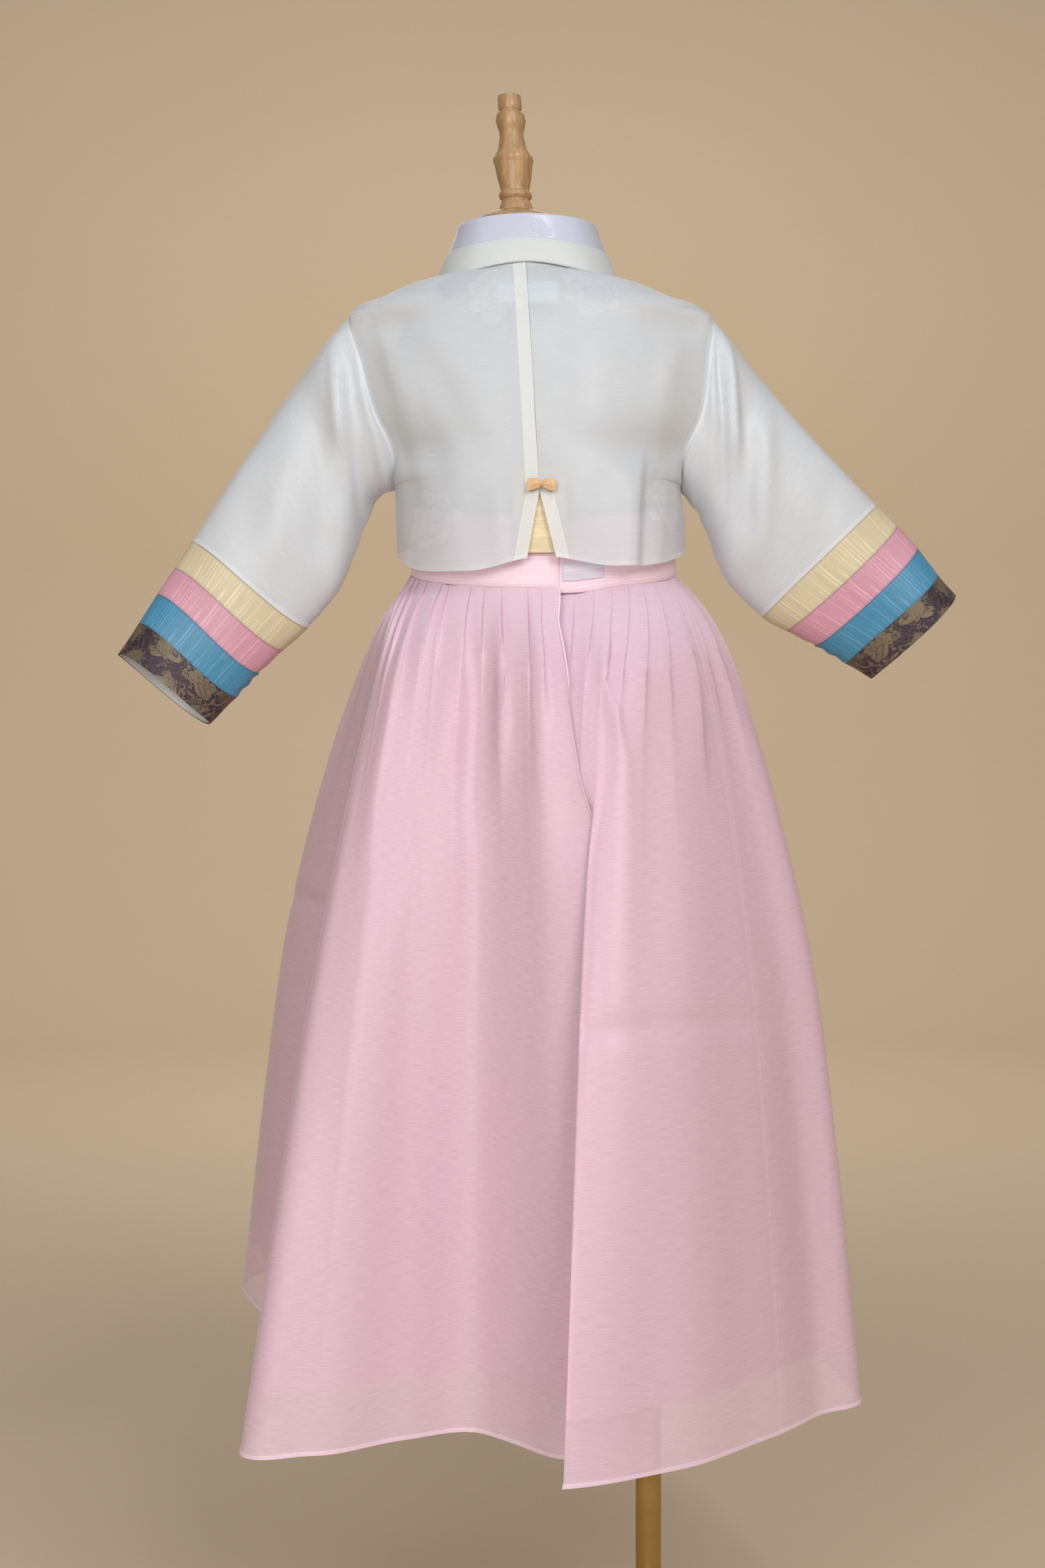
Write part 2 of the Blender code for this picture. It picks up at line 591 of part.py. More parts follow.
def build_chima():
    """The skirt's four widths, its waistband and the fastening strip on the band's right end."""
    for name, first, last in zip(*(SKIRT_WIDTHS[key] for key in ("width", "start", "end"))):
        first = first + WIDTH_GAP * (first > PLEAT_UNDER)
        last = last - WIDTH_GAP * (last < PLEATS)
        wall(str(name), skirt_middle(skirt_columns(first, last))[::-1], SKIRT_CLOTH, "organza_pink")
    round_the_waist = np.linspace(SKIRT_LINES["angle"][0], SKIRT_LINES["angle"][-1], 57)
    wall("waistband", band_middle(round_the_waist, 0.0, BAND_HEIGHT, 0.0), JACKET_CLOTH, "organza_pink")
    strip = band_middle(np.linspace(*STRIP_ANGLES, 6), *STRIP_HEIGHTS, JACKET_CLOTH + SEAM_GAP)
    wall("fastening_strip", strip, JACKET_CLOTH, "satin")


# ---- the jeogori ---------------------------------------------------------------------------------
def jacket_levels():
    """Levels of the jacket's body as finer rows: below the armhole, along it, and over the shoulder."""
    below = np.array([0.0, 0.5, 1.0, 1.5])
    turn = np.linspace(0.0, math.pi, ARMHOLE_STEPS + 1)
    armhole_z = ARMHOLE_BOTTOM_Z + (ARMHOLE_TOP_Z - ARMHOLE_BOTTOM_Z) * (1 - np.cos(turn)) / 2
    side_z = JACKET_LEVELS["side_z"]
    order = np.arange(len(side_z), dtype=float)
    armhole = np.interp(armhole_z, side_z[2:7], order[2:7])
    above = np.array([6.5, 7.0, 8.0, 8.5, 9.0])
    levels = np.concatenate([below, armhole, above])
    rows = {key: curve(order, JACKET_LEVELS[key], levels) for key in JACKET_LEVELS if key != "level"}
    inside = np.concatenate([np.zeros(len(below)), np.sin(turn), np.zeros(len(above))])
    rows["edge_depth"] = np.maximum(ARMHOLE_HALF_DEPTH * inside, SIDE_SEAM_HALF_GAP)
    rows["flatness"] = 0.5 + 0.5 * inside
    rows["level"] = levels
    return rows


ARMHOLE_ROWS = slice(4, 4 + ARMHOLE_STEPS + 1)


def body_surface(rows, x, side, inset=0.0):
    """Points of the jacket's body at X offsets from its axis; side is 1 behind and -1 in front."""
    reach = np.where(x > 0, rows["left"][:, None], rows["right"][:, None])
    share = np.clip(np.abs(x) / reach, 0.0, 1.0)
    depth = rows["back"] if side > 0 else rows["front"]
    middle_z = rows["back_z"] if side > 0 else rows["front_z"]
    edge = rows["edge_depth"][:, None]
    round_off = (1 - share ** SECTION_POWER) ** rows["flatness"][:, None]
    y = edge + (depth[:, None] - edge) * round_off - inset
    hem_share = np.clip(1.0 - rows["level"], 0.0, 1.0)[:, None] if side > 0 else 0.0
    sag = np.where(x > 0, HEM_SAG["left"], HEM_SAG["right"])
    corner = np.where(x > 0, HEM_CORNER["left"], HEM_CORNER["right"])
    rise = share ** 3 + (share ** corner - share ** 3) * hem_share
    z = middle_z[:, None] + (rows["side_z"] - middle_z)[:, None] * rise
    z = z - sag * hem_share * smooth(share / 0.5) * (1 - share ** 6 / 2)
    return np.stack([clothes_x(z) + x, side * y, z], axis=-1)


def back_rise(x, z, hand):
    """How far the folds of a back stand out at X measured to its side, and at a height."""
    rise = 0.0
    for side, top_x, foot_x, top_z, foot_z, height, width in zip(
        *(BACK_FOLDS[key] for key in ("hand", "top_x", "foot_x", "top_z", "foot_z", "rise", "width"))
    ):
        if side == hand:
            drop = (top_z - z) / (top_z - foot_z)
            line_x = top_x + (foot_x - top_x) * drop
            fades = smooth(drop * 3) * smooth((1 - drop) * 5 + 0.5)
            rise = rise + height * fades * np.exp(-(((x - line_x) / width) ** 2))
    return rise


def spread_columns(inner, outer, count):
    """X offsets from an inner to an outer line for each row, closer together towards the outer one."""
    share = np.sin(np.linspace(0.0, math.pi / 2, count))
    return inner[:, None] + (outer - inner)[:, None] * share


def back_middle(rows, hand):
    """Middle points of one back, from the centre seam or the slit's edge to the side; hand is 1 or -1."""
    reach = rows["left"] if hand > 0 else rows["right"]
    swing = SLIT_LEFT if hand > 0 else SLIT_RIGHT
    hem_z = rows["back_z"][0]
    opened = np.clip((SLIT_TOP_Z - rows["back_z"]) / (SLIT_TOP_Z - hem_z), 0.0, 1.0)
    centre = SEAM_GAP / 2 + swing * opened
    x = spread_columns(centre, reach, BACK_COLUMNS)
    kept_flat = smooth((reach[:, None] - x) / 0.012)
    return body_surface(rows, hand * x, 1, -back_rise(x, rows["side_z"][:, None], hand) * kept_flat)


def inner_inset(x, z):
    """How far the inner front and its collar lie under the outer ones, at X measured to their side."""
    begins = INSET_BEGINS + (INSET_BEGINS_HIGH - INSET_BEGINS) * smooth((z - INSET_HIGH_Z) / 0.04)
    return FRONT_INSET * (1 - smooth((x - begins) / INSET_RUN))


def front_middle(rows, hand):
    """Middle points of one front, from its neckline edge to the side."""
    reach = rows["left"] if hand > 0 else rows["right"]
    neck_x = reach[-1] - NECK_ROW_WIDTH
    rise = np.clip((rows["side_z"] - NECKLINE_END_Z) / (rows["side_z"][-1] - NECKLINE_END_Z), 0.0, 1.0)
    edge = -FRONT_OVERLAP + (neck_x + FRONT_OVERLAP) * rise
    x = spread_columns(edge, reach, FRONT_COLUMNS)
    tucked = inner_inset(x, rows["side_z"][:, None]) if hand < 0 else 0.0
    return body_surface(rows, hand * x, -1, tucked)


def front_depth(x, z):
    """Depth of the jacket's front at an X offset and a height on the chest."""
    side_z = JACKET_LEVELS["side_z"]
    sides = [curve(side_z, JACKET_LEVELS[side], z) for side in ("left", "right")]
    reach = np.where(x > 0, sides[0], sides[1])
    height = (z - ARMHOLE_BOTTOM_Z) / (ARMHOLE_TOP_Z - ARMHOLE_BOTTOM_Z)
    inside = 2 * np.sqrt(np.clip(height * (1 - height), 0.0, 0.25))
    edge = np.maximum(ARMHOLE_HALF_DEPTH * inside, SIDE_SEAM_HALF_GAP)
    share = np.clip(np.abs(x) / reach, 0.0, 1.0)
    depth = curve(side_z, JACKET_LEVELS["front"], z)
    return edge + (depth - edge) * (1 - share ** SECTION_POWER) ** (0.5 + 0.5 * inside)


def armhole_loop(back, front):
    """The armhole's edge as a closed ring: up the back from the underarm, and down the front."""
    up = back[ARMHOLE_ROWS, -1]
    down = front[ARMHOLE_ROWS, -1][-2:0:-1]
    loop = np.concatenate([up, down])
    loop[0, 1] = 0.0
    loop[ARMHOLE_STEPS, 1] = 0.0
    return loop


def sleeve_rings(sections, armhole, hand, stations):
    """Rings of a sleeve at the given stations: the armhole's own ring easing into ellipses.

    Each ellipse stands on the line from the section's bottom edge to its top edge, half as thick as the
    table says, and its side at the wearer's back is drawn up along the sleeve.
    """
    order = np.arange(len(sections["section"]), dtype=float)
    turn = np.arange(2 * ARMHOLE_STEPS) * math.pi / ARMHOLE_STEPS
    part = {key: curve(order, sections[key], stations) for key in sections if key != "section"}
    top = np.stack([part["top_x"], part["y"], part["top_z"]], axis=1)
    bottom = np.stack([part["bottom_x"], part["y"], part["bottom_z"]], axis=1)
    middle = (top + bottom) / 2
    half_height = (top - bottom) / 2
    down_the_sleeve = unit(np.gradient(middle, axis=0))
    rings = (
        middle[:, None]
        - half_height[:, None] * np.cos(turn)[None, :, None]
        + part["half"][:, None, None] * np.sin(turn)[None, :, None] * np.array([0.0, 1.0, 0.0])
        - part["drawn_up"][:, None, None] * np.sin(turn)[None, :, None] * down_the_sleeve[:, None]
    )
    shift = armhole - rings[0] + np.array([hand * ARMHOLE_GAP, 0.0, 0.0])
    ease = (1 - smooth(stations / 2.0))[:, None, None]
    return rings + shift * ease if stations[0] == 0 else rings


def build_sleeve(side, sections, back, front, hand):
    """One sleeve and the four strips at its end."""
    armhole = armhole_loop(back, front)
    body = sleeve_rings(sections, armhole, hand, np.array([0.0, 0.5, 1.0, 1.5, 2.0, 3.0, 4.0, 4.995]))
    wall(f"sleeve_{side}", body, JACKET_CLOTH, "organza_white", closed=True)
    for number, band in enumerate(SLEEVE_BANDS):
        first = 5.0 + number
        rings = sleeve_rings(sections, armhole, hand, np.array([first + 0.005, first + 0.5, first + 0.995]))
        wall(f"sleeve_{side}_{band}", rings, JACKET_CLOTH, band, closed=True)


def collar_line(prefix, at, hand):
    """One edge of the collar on one side, as points at places counted in stations."""
    order = np.arange(len(COLLAR["station"]), dtype=float)
    x, y, z = (curve(order, COLLAR[f"{prefix}_{axis}"], at) for axis in "xyz")
    on_chest = smooth((COLLAR_ON_CHEST_Z - z) / 0.03)
    y = y + (-front_depth(hand * x, z) - COLLAR_LIFT - y) * on_chest
    if hand < 0:
        y = y + inner_inset(x, z) * smooth(at - COLLAR_SHOULDER)
    centre = np.where(z < COLLAR_ON_CHEST_Z, clothes_x(z), clothes_x(COLLAR_ON_CHEST_Z))
    return np.stack([centre + hand * x, y, z], axis=1)


def collar_middle(low, high):
    """Middle points of a strip of the collar between two shares of its height, end to end."""
    stations = len(COLLAR["station"]) - 1
    at = np.linspace(0.0, stations, stations * COLLAR_STEPS + 1)
    edges = []
    for prefix in ("seam", "top"):
        outer = collar_line(prefix, at, 1)
        inner = collar_line(prefix, at[:0:-1], -1)
        edges.append(np.concatenate([inner, outer]))
    seam, top = edges
    return np.array([seam + (top - seam) * share for share in (low, (low + high) / 2, high)])


# the bow at the top of the slit, from its knot to a tip: X from its middle, half height, half depth
BOW = table(
    "section x half_height half_depth",
    ("knot", 0.0, 0.0025, 0.0020),
    ("knot edge", 0.0014, 0.0024, 0.0019),
    ("pinch", 0.0022, 0.0018, 0.0012),
    ("wing", 0.0055, 0.0044, 0.0021),
    ("wing end", 0.0095, 0.0042, 0.0018),
    ("tip", 0.0115, 0.0030, 0.0010),
)
BOW_SHIFT = np.array([-0.0015, 0.0040, 0.0060])    # from the top of the slit


def build_bow():
    """The small bow at the top of the slit: two wings and a knot as one solid."""
    turn = np.arange(10) * 2 * math.pi / 10
    centre = np.array([clothes_x(SLIT_TOP_Z), JACKET_LEVELS["back"][1], SLIT_TOP_Z]) + BOW_SHIFT
    sections = list(zip(BOW["x"], BOW["half_height"], BOW["half_depth"]))
    mirrored = [(-x, height, depth) for x, height, depth in sections[:0:-1]]
    rings = [
        centre + np.stack([np.full(10, x), depth * np.cos(turn), height * np.sin(turn)], axis=1)
        for x, height, depth in mirrored + sections
    ]
    lofted("back_bow", rings, "bow")


def ribbon(name, path, across, finish):
    """A flat ribbon along a path of points, spread to both sides by half of the across vectors."""
    path = np.asarray(path, float)
    across = np.asarray(across, float)
    wall(name, np.array([path - across / 2, path + across / 2]), RIBBON, finish)


# the goreum's tails hang from the knot, over the jacket's hem and the skirt's front
TAIL_FALL = table(
    "place z y",
    ("knot", 1.008, -0.1090),
    ("chest", 0.985, -0.1095),
    ("hem", 0.960, -0.1130),
    ("over the waist", 0.925, -0.1260),
    ("pleats", 0.890, -0.1450),
    ("skirt", 0.850, -0.1640),
    ("skirt low", 0.800, -0.1810),
    ("end", 0.755, -0.1920),
)


# the two tails: how far each swings to the side, where it ends and how far it lies off the other one
TAILS = table(
    "tail swing end_z off",
    ("goreum_long", -0.010, 0.755, 0.0),
    ("goreum_short", 0.016, 0.810, 0.0022),
)
# rings of the knot: height from its middle, half width, half depth
KNOT = table(
    "ring z half_width half_depth",
    ("underside", -0.0105, 0.006, 0.003),
    ("low", -0.0065, 0.008, 0.004),
    ("high", 0.0065, 0.008, 0.004),
    ("top", 0.0105, 0.006, 0.003),
)


def build_goreum():
    """The front tie: a knot, one loop and two tails."""
    knot_x = clothes_x(KNOT_Z) - FRONT_OVERLAP
    turn = np.arange(12) * 2 * math.pi / 12
    knot = []
    for z, half_width, half_depth in zip(KNOT["z"], KNOT["half_width"], KNOT["half_depth"]):
        x = knot_x + half_width * np.cos(turn)
        y = KNOT_Y + half_depth * np.sin(turn)
        knot.append(np.stack([x, y, np.full(12, KNOT_Z + z)], axis=1))
    lofted("goreum_knot", knot, "pink")

    out = np.linspace(0.0, 1.0, 7)
    start = np.array([knot_x + 0.0095, KNOT_Y + 0.0020, KNOT_Z])
    under = start + out[:, None] * np.array([LOOP_LENGTH, 0.004, -0.010])
    over = under - np.array([0.0, LOOP_THICKNESS, 0.0]) * np.sin(math.pi * out * 0.5 + 0.35)[:, None]
    turned = under[-1:] + np.array([[0.004, -LOOP_THICKNESS / 2, 0.0]])
    loop = np.concatenate([under, turned, over[::-1]])
    ribbon("goreum_loop", loop, np.tile([0.003, 0.0, LOOP_WIDTH], (len(loop), 1)), "pink")

    for name, swing, end_z, off in zip(*(TAILS[key] for key in ("tail", "swing", "end_z", "off"))):
        z = np.linspace(TAIL_FALL["z"][0], end_z, 9)
        y = curve(-TAIL_FALL["z"], TAIL_FALL["y"], -z) - off
        gone = (z[0] - z) / (z[0] - z[-1])
        width = TAIL_TOP_WIDTH + (TAIL_WIDTH - TAIL_TOP_WIDTH) * smooth(gone * 4)
        across = np.stack([width, np.zeros(9), width * 0.05], axis=1)
        ribbon(str(name), np.stack([knot_x + swing * gone, y, z], axis=1), across, "pink")


def build_jeogori():
    """Backs, fronts, sleeves, collar, slit underlay, bow and tie."""
    rows = jacket_levels()
    backs = {hand: back_middle(rows, hand) for hand in (1, -1)}
    fronts = {hand: front_middle(rows, hand) for hand in (1, -1)}
    wall("back_left", backs[1], JACKET_CLOTH, "organza_white")
    wall("back_right", backs[-1], JACKET_CLOTH, "organza_white")
    wall("front_outer", fronts[1], JACKET_CLOTH, "organza_white")
    wall("front_inner", fronts[-1], JACKET_CLOTH, "organza_white")
    build_sleeve("left", SLEEVE_LEFT, backs[1], fronts[1], 1)
    build_sleeve("right", SLEEVE_RIGHT, backs[-1], fronts[-1], -1)
    wall("git", collar_middle(0.0, GIT_SHARE - COLLAR_SEAM_SHARE), COLLAR_CLOTH, "cream")
    wall("satin_collar", collar_middle(GIT_SHARE + COLLAR_SEAM_SHARE, 1.0), COLLAR_CLOTH, "satin")
    across = np.linspace(-UNDERLAY_HALF_WIDTH, UNDERLAY_HALF_WIDTH, 7)
    round_y = UNDERLAY_DEPTH - UNDERLAY_CURVE * across**2
    underlay = [
        np.stack([clothes_x(z) + across, round_y, np.full(7, z)], axis=1) for z in UNDERLAY_HEIGHTS
    ]
    wall("slit_underlay", np.array(underlay), RIBBON, "yellow")
    label_x = np.linspace(-LABEL_HALF_WIDTH, LABEL_HALF_WIDTH, 7)
    depths = np.interp(LABEL_HEIGHTS, JACKET_LEVELS["back_z"], JACKET_LEVELS["back"]) - LABEL_INSIDE
    round_off = (1 - (np.abs(label_x) / JACKET_LEVELS["left"][7]) ** SECTION_POWER) ** 0.5
    label = [
        np.stack([clothes_x(z) + label_x, depth * round_off, np.full(7, z)], axis=1)
        for z, depth in zip(LABEL_HEIGHTS, depths)
    ]
    wall("neck_label", np.array(label), LABEL_CLOTH, "label")
    build_bow()
    build_goreum()


def main():
    """Build the whole part."""
    clear_scene()
    build_stand()
    build_chima()
    build_jeogori()


main()
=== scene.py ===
"""A child's hanbok on a limbless dress form: thin cloth shells with their folds, and every finish.

Each shell is a grid of points worked out from the tables below, in metres. The garment's front faces -Y
and the wearer's left is +X. A piece's UV map holds its place on the flat cloth, in metres.
"""
import math

import bpy
import numpy as np
from bpy.props import FloatProperty, FloatVectorProperty, PointerProperty
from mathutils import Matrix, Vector


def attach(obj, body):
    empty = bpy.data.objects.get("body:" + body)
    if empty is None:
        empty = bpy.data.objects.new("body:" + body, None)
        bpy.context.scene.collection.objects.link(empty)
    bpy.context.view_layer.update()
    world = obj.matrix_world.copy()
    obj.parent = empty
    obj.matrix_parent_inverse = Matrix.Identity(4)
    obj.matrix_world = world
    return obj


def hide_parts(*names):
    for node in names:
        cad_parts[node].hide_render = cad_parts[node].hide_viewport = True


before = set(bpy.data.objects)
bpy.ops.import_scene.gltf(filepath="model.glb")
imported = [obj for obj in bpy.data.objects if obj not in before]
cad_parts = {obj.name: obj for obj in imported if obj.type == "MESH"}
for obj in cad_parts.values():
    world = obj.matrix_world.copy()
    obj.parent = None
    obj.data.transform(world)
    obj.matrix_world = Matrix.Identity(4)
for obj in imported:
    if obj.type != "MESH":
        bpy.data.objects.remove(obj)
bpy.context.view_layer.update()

bl_info = {
    "name": "Hanbok on a dress form",
    "version": (1, 0, 0),
    "blender": (4, 5, 0),
    "location": "View3D > Sidebar > Hanbok",
    "description": "Builds a child's jeogori and chima with their sheer cloth, and the stand that holds them",
    "category": "Add Mesh",
}

PI = math.pi
BEHIND = np.array([0.0, 1.0, 0.0])
UP = np.array([0.0, 0.0, 1.0])
ASIDE = np.array([1.0, 0.0, 0.0])


def table(heads, *rows):
    """A small table as a dictionary of columns."""
    return {head: np.array(column) for head, column in zip(heads.split(), zip(*rows))}


# ---- the skirt's tables --------------------------------------------------------------------------
# Lines of the skirt: angle at the waist in degrees, place at the hem about the skirt's middle, and how
# much of the bell curve the line follows.
SKIRT_LINES = table(
    "angle x y z bell",
    (-6, -0.050, 0.222, 0.236, 1.0),
    (6, -0.006, 0.196, 0.233, 1.0),
    (27, 0.055, 0.140, 0.236, 0.9),
    (42, 0.112, 0.160, 0.236, 0.8),
    (60, 0.180, 0.192, 0.233, 0.65),
    (80, 0.2365, 0.159, 0.233, 0.5),
    (87, 0.222, 0.108, 0.245, 0.6),
    (94, 0.205, 0.045, 0.268, 0.8),
    (102, 0.242, -0.032, 0.287, 0.9),
    (111, 0.271, -0.100, 0.297, 0.95),
    (126, 0.240, -0.172, 0.297, 1.0),
    (143, 0.165, -0.205, 0.297, 1.0),
    (160, 0.100, -0.243, 0.295, 1.0),
    (176, 0.030, -0.228, 0.293, 1.0),
    (192, -0.040, -0.248, 0.290, 1.0),
    (208, -0.110, -0.215, 0.285, 1.0),
    (226, -0.182, -0.188, 0.275, 1.0),
    (245, -0.238, -0.112, 0.258, 1.0),
    (261, -0.250, -0.035, 0.243, 1.0),
    (274, -0.263, 0.048, 0.233, 1.0),
    (285, -0.222, 0.087, 0.233, 1.0),
    (297, -0.171, 0.152, 0.233, 1.0),
    (308, -0.115, 0.214, 0.233, 1.0),
    (319, -0.062, 0.247, 0.233, 1.0),
    (330, -0.0115, 0.2705, 0.233, 0.62),
    (344, -0.080, 0.215, 0.233, 1.0),
    (366, 0.002, 0.165, 0.238, 1.0),
    (390, 0.052, 0.112, 0.240, 1.0),
)
# what stands in for the lines 330, 344 and 366 above the place where the fold beside the opening comes out
TUCKED_LINES = table(
    "x y z bell",
    (-0.0316, 0.2367, 0.233, 1.0),
    (-0.0156, 0.2170, 0.233, 1.0),
    (0.0078, 0.1880, 0.238, 1.0),
)
# the bell curve: how far from the waist line to the hem line the cloth has come at each share of the drop
SPREAD = table(
    "drop spread",
    (0.0, 0.0), (0.05, 0.17), (0.10, 0.295), (0.20, 0.455),
    (0.32, 0.600), (0.47, 0.745), (0.70, 0.875), (1.0, 1.0),
)
# the four widths of cloth: name, place along the cloth in pleats where each starts and ends, width cut
SKIRT_WIDTHS = (
    ("chima_back_left", 0.5, 10.75, 0.350),
    ("chima_side_left", 10.75, 23.75, 0.560),
    ("chima_side_right", 23.75, 36.75, 0.545),
    ("chima_back_right", 36.75, 48.0, 0.460),
)
SEAMS_IN_LINING = (4.6, 18.0, 30.5, 40.1)   # the same for the lining's seams
# how far down each pleat stays closed, as a share of the drop, every three pleats
PLEAT_FADES = (
    0.22, 0.30, 0.19, 0.27, 0.17, 0.24, 0.33, 0.20, 0.26, 0.18, 0.31, 0.23, 0.28, 0.34, 0.21, 0.25, 0.22,
)
# Soft folds below the pleats: place along the cloth at their top, how far they drift by their foot, the
# shares of the drop where they begin and end, how far they stand out, half width in pleats, and how
# much steeper their right side is than their left.
SKIRT_FOLDS = table(
    "at drift top foot rise width steep",
    (0.5, 0.0, 0.00, 0.30, -0.0030, 0.90, 1.0),
    (1.6, 0.5, 0.04, 0.42, 0.0040, 0.80, 1.6),
    (3.0, 0.6, 0.03, 0.30, 0.0045, 0.60, 2.6),
    (4.4, 0.9, 0.05, 0.34, -0.0050, 0.70, 1.0),
    (5.6, -0.3, 0.04, 0.55, 0.0040, 0.80, 1.8),
    (7.2, 0.3, 0.05, 0.46, -0.0035, 0.60, 1.2),
    (8.4, 0.4, 0.04, 0.38, 0.0045, 0.70, 2.2),
    (9.6, 0.2, 0.10, 0.80, -0.0030, 0.80, 1.0),
    (12.5, 0.5, 0.05, 0.50, 0.0040, 0.80, 2.0),
    (14.2, -0.4, 0.06, 0.36, -0.0040, 0.60, 1.4),
    (16.5, 0.6, 0.04, 0.62, 0.0050, 0.90, 1.6),
    (19.1, 0.3, 0.05, 0.40, 0.0035, 0.70, 2.4),
    (21.0, -0.5, 0.05, 0.56, -0.0040, 0.80, 1.0),
    (23.4, 0.4, 0.04, 0.44, 0.0045, 0.70, 2.0),
    (25.8, 0.5, 0.05, 0.66, 0.0050, 0.90, 1.5),
    (28.3, -0.3, 0.04, 0.38, -0.0040, 0.70, 1.2),
    (30.6, 0.4, 0.05, 0.52, 0.0040, 0.80, 2.2),
    (33.0, 0.3, 0.05, 0.40, -0.0035, 0.60, 1.0),
    (35.2, -0.2, 0.06, 0.60, 0.0035, 0.80, 1.6),
    (37.4, 0.2, 0.03, 0.28, 0.0040, 0.50, 2.6),
    (39.2, 0.3, 0.10, 0.62, -0.0040, 0.70, 1.0),
    (41.7, -1.8, 0.02, 0.26, 0.0040, 0.50, 3.4),
)
# soft creases that run across the cloth: place along it, share of the drop, half width, half height, depth
SKIRT_DENTS = table(
    "at drop width height depth",
    (13.2, 0.44, 1.6, 0.012, 0.0035),
    (39.4, 0.515, 2.6, 0.014, 0.0022),
    (20.5, 0.58, 1.4, 0.012, 0.0025),
    (29.0, 0.47, 1.8, 0.014, 0.0025),
)

# ---- the jacket ----------------------------------------------------------------------------------
NECK_SEAM_Z = 1.184
NECK_SEAM_X = 0.105
CLOTHES_LEAN = 0.056        # how far the clothes' axis leans for each metre of height
FORM_TOP = 1.340
FORM_TOP_X = 0.1195
FORM_LEAN = math.tan(math.radians(3.6))
# level sections of the body from the hem to the neck: heights at the middle of the back, of the front and
# at the sides, half widths to the wearer's left and right, and depths behind and before the axis
JACKET_LEVELS = table(
    "back_z front_z side_z left right back front",
    (0.935, 0.974, 0.950, 0.1235, 0.1230, 0.0985, 0.1030),
    (0.966, 0.988, 0.974, 0.1230, 0.1240, 0.0985, 0.1045),
    (1.003, 1.003, 1.003, 0.1220, 0.1220, 0.0970, 0.1030),
    (1.030, 1.030, 1.030, 0.1200, 0.1250, 0.0960, 0.1000),
    (1.063, 1.063, 1.063, 0.1340, 0.1410, 0.0940, 0.0940),
    (1.105, 1.107, 1.107, 0.1435, 0.1490, 0.0880, 0.0840),
    (1.148, 1.149, 1.150, 0.1520, 0.1540, 0.0745, 0.0680),
    (1.163, 1.160, 1.162, 0.1290, 0.1270, 0.0680, 0.0600),
    (1.175, 1.169, 1.1715, 0.1060, 0.1040, 0.0620, 0.0530),
    (1.184, 1.174, 1.1752, 0.0765, 0.0750, 0.0570, 0.0460),
)
ARMHOLE_Z = (1.003, 1.150)
ARMHOLE_HALF_DEPTH = 0.046
SECTION_POWER = 2.4         # how square the level sections are
HEM_SAG = {"left": 0.0110, "right": 0.0077}
SLIT_TOP_Z = 0.988
SLIT_SWING = {"left": 0.0132, "right": 0.0102}     # how far each back's hem swings away from the middle
BACK_SEAM_GAP = 0.00015
FOLDED_CLOTH = 0.0009       # thickness of a panel's folded inner edge
FLAT_AT_SIDE = 0.012        # how near its side seam a panel has no folds
ARMHOLE_FADE = (0.045, 0.030)   # over which heights the armhole's shape comes in at its foot and its top
FRONT_OVERLAP = 0.045
NECKLINE_END_Z = 1.025
# Folds of the jacket in world X: hand of the piece, X at their top and foot, heights, how far they stand
# out, half width, and how much steeper the side towards the sleeve is. The fronts have similar ones.
BACK_FOLDS = table(
    "hand top_x foot_x top_z foot_z rise width steep",
    (-1, 0.008, 0.0205, 1.030, 0.895, 0.0090, 0.022, 9.0),
    (-1, -0.024, -0.001, 1.150, 0.998, 0.0034, 0.013, 1.0),
    (-1, 0.060, 0.040, 1.130, 1.030, 0.0016, 0.020, 1.0),
    (-1, -0.014, 0.000, 1.010, 0.925, 0.0020, 0.010, 2.0),
    (1, 0.233, 0.187, 1.155, 0.985, 0.0038, 0.013, 1.6),
    (1, 0.158, 0.171, 1.060, 0.950, 0.0022, 0.016, 1.0),
    (1, 0.196, 0.150, 1.130, 1.020, -0.0016, 0.014, 1.0),
    (1, 0.128, 0.118, 1.010, 0.925, 0.0014, 0.012, 1.0),
)
FRONT_FOLDS = table(
    "hand top_x foot_x top_z foot_z rise width steep",
    (1, 0.228, 0.190, 1.150, 0.990, 0.0034, 0.013, 1.4),
    (1, 0.170, 0.160, 1.080, 0.975, 0.0022, 0.015, 1.0),
    (-1, -0.020, 0.004, 1.150, 1.000, 0.0034, 0.013, 1.4),
    (-1, 0.022, 0.034, 1.070, 0.970, 0.0024, 0.014, 1.6),
)
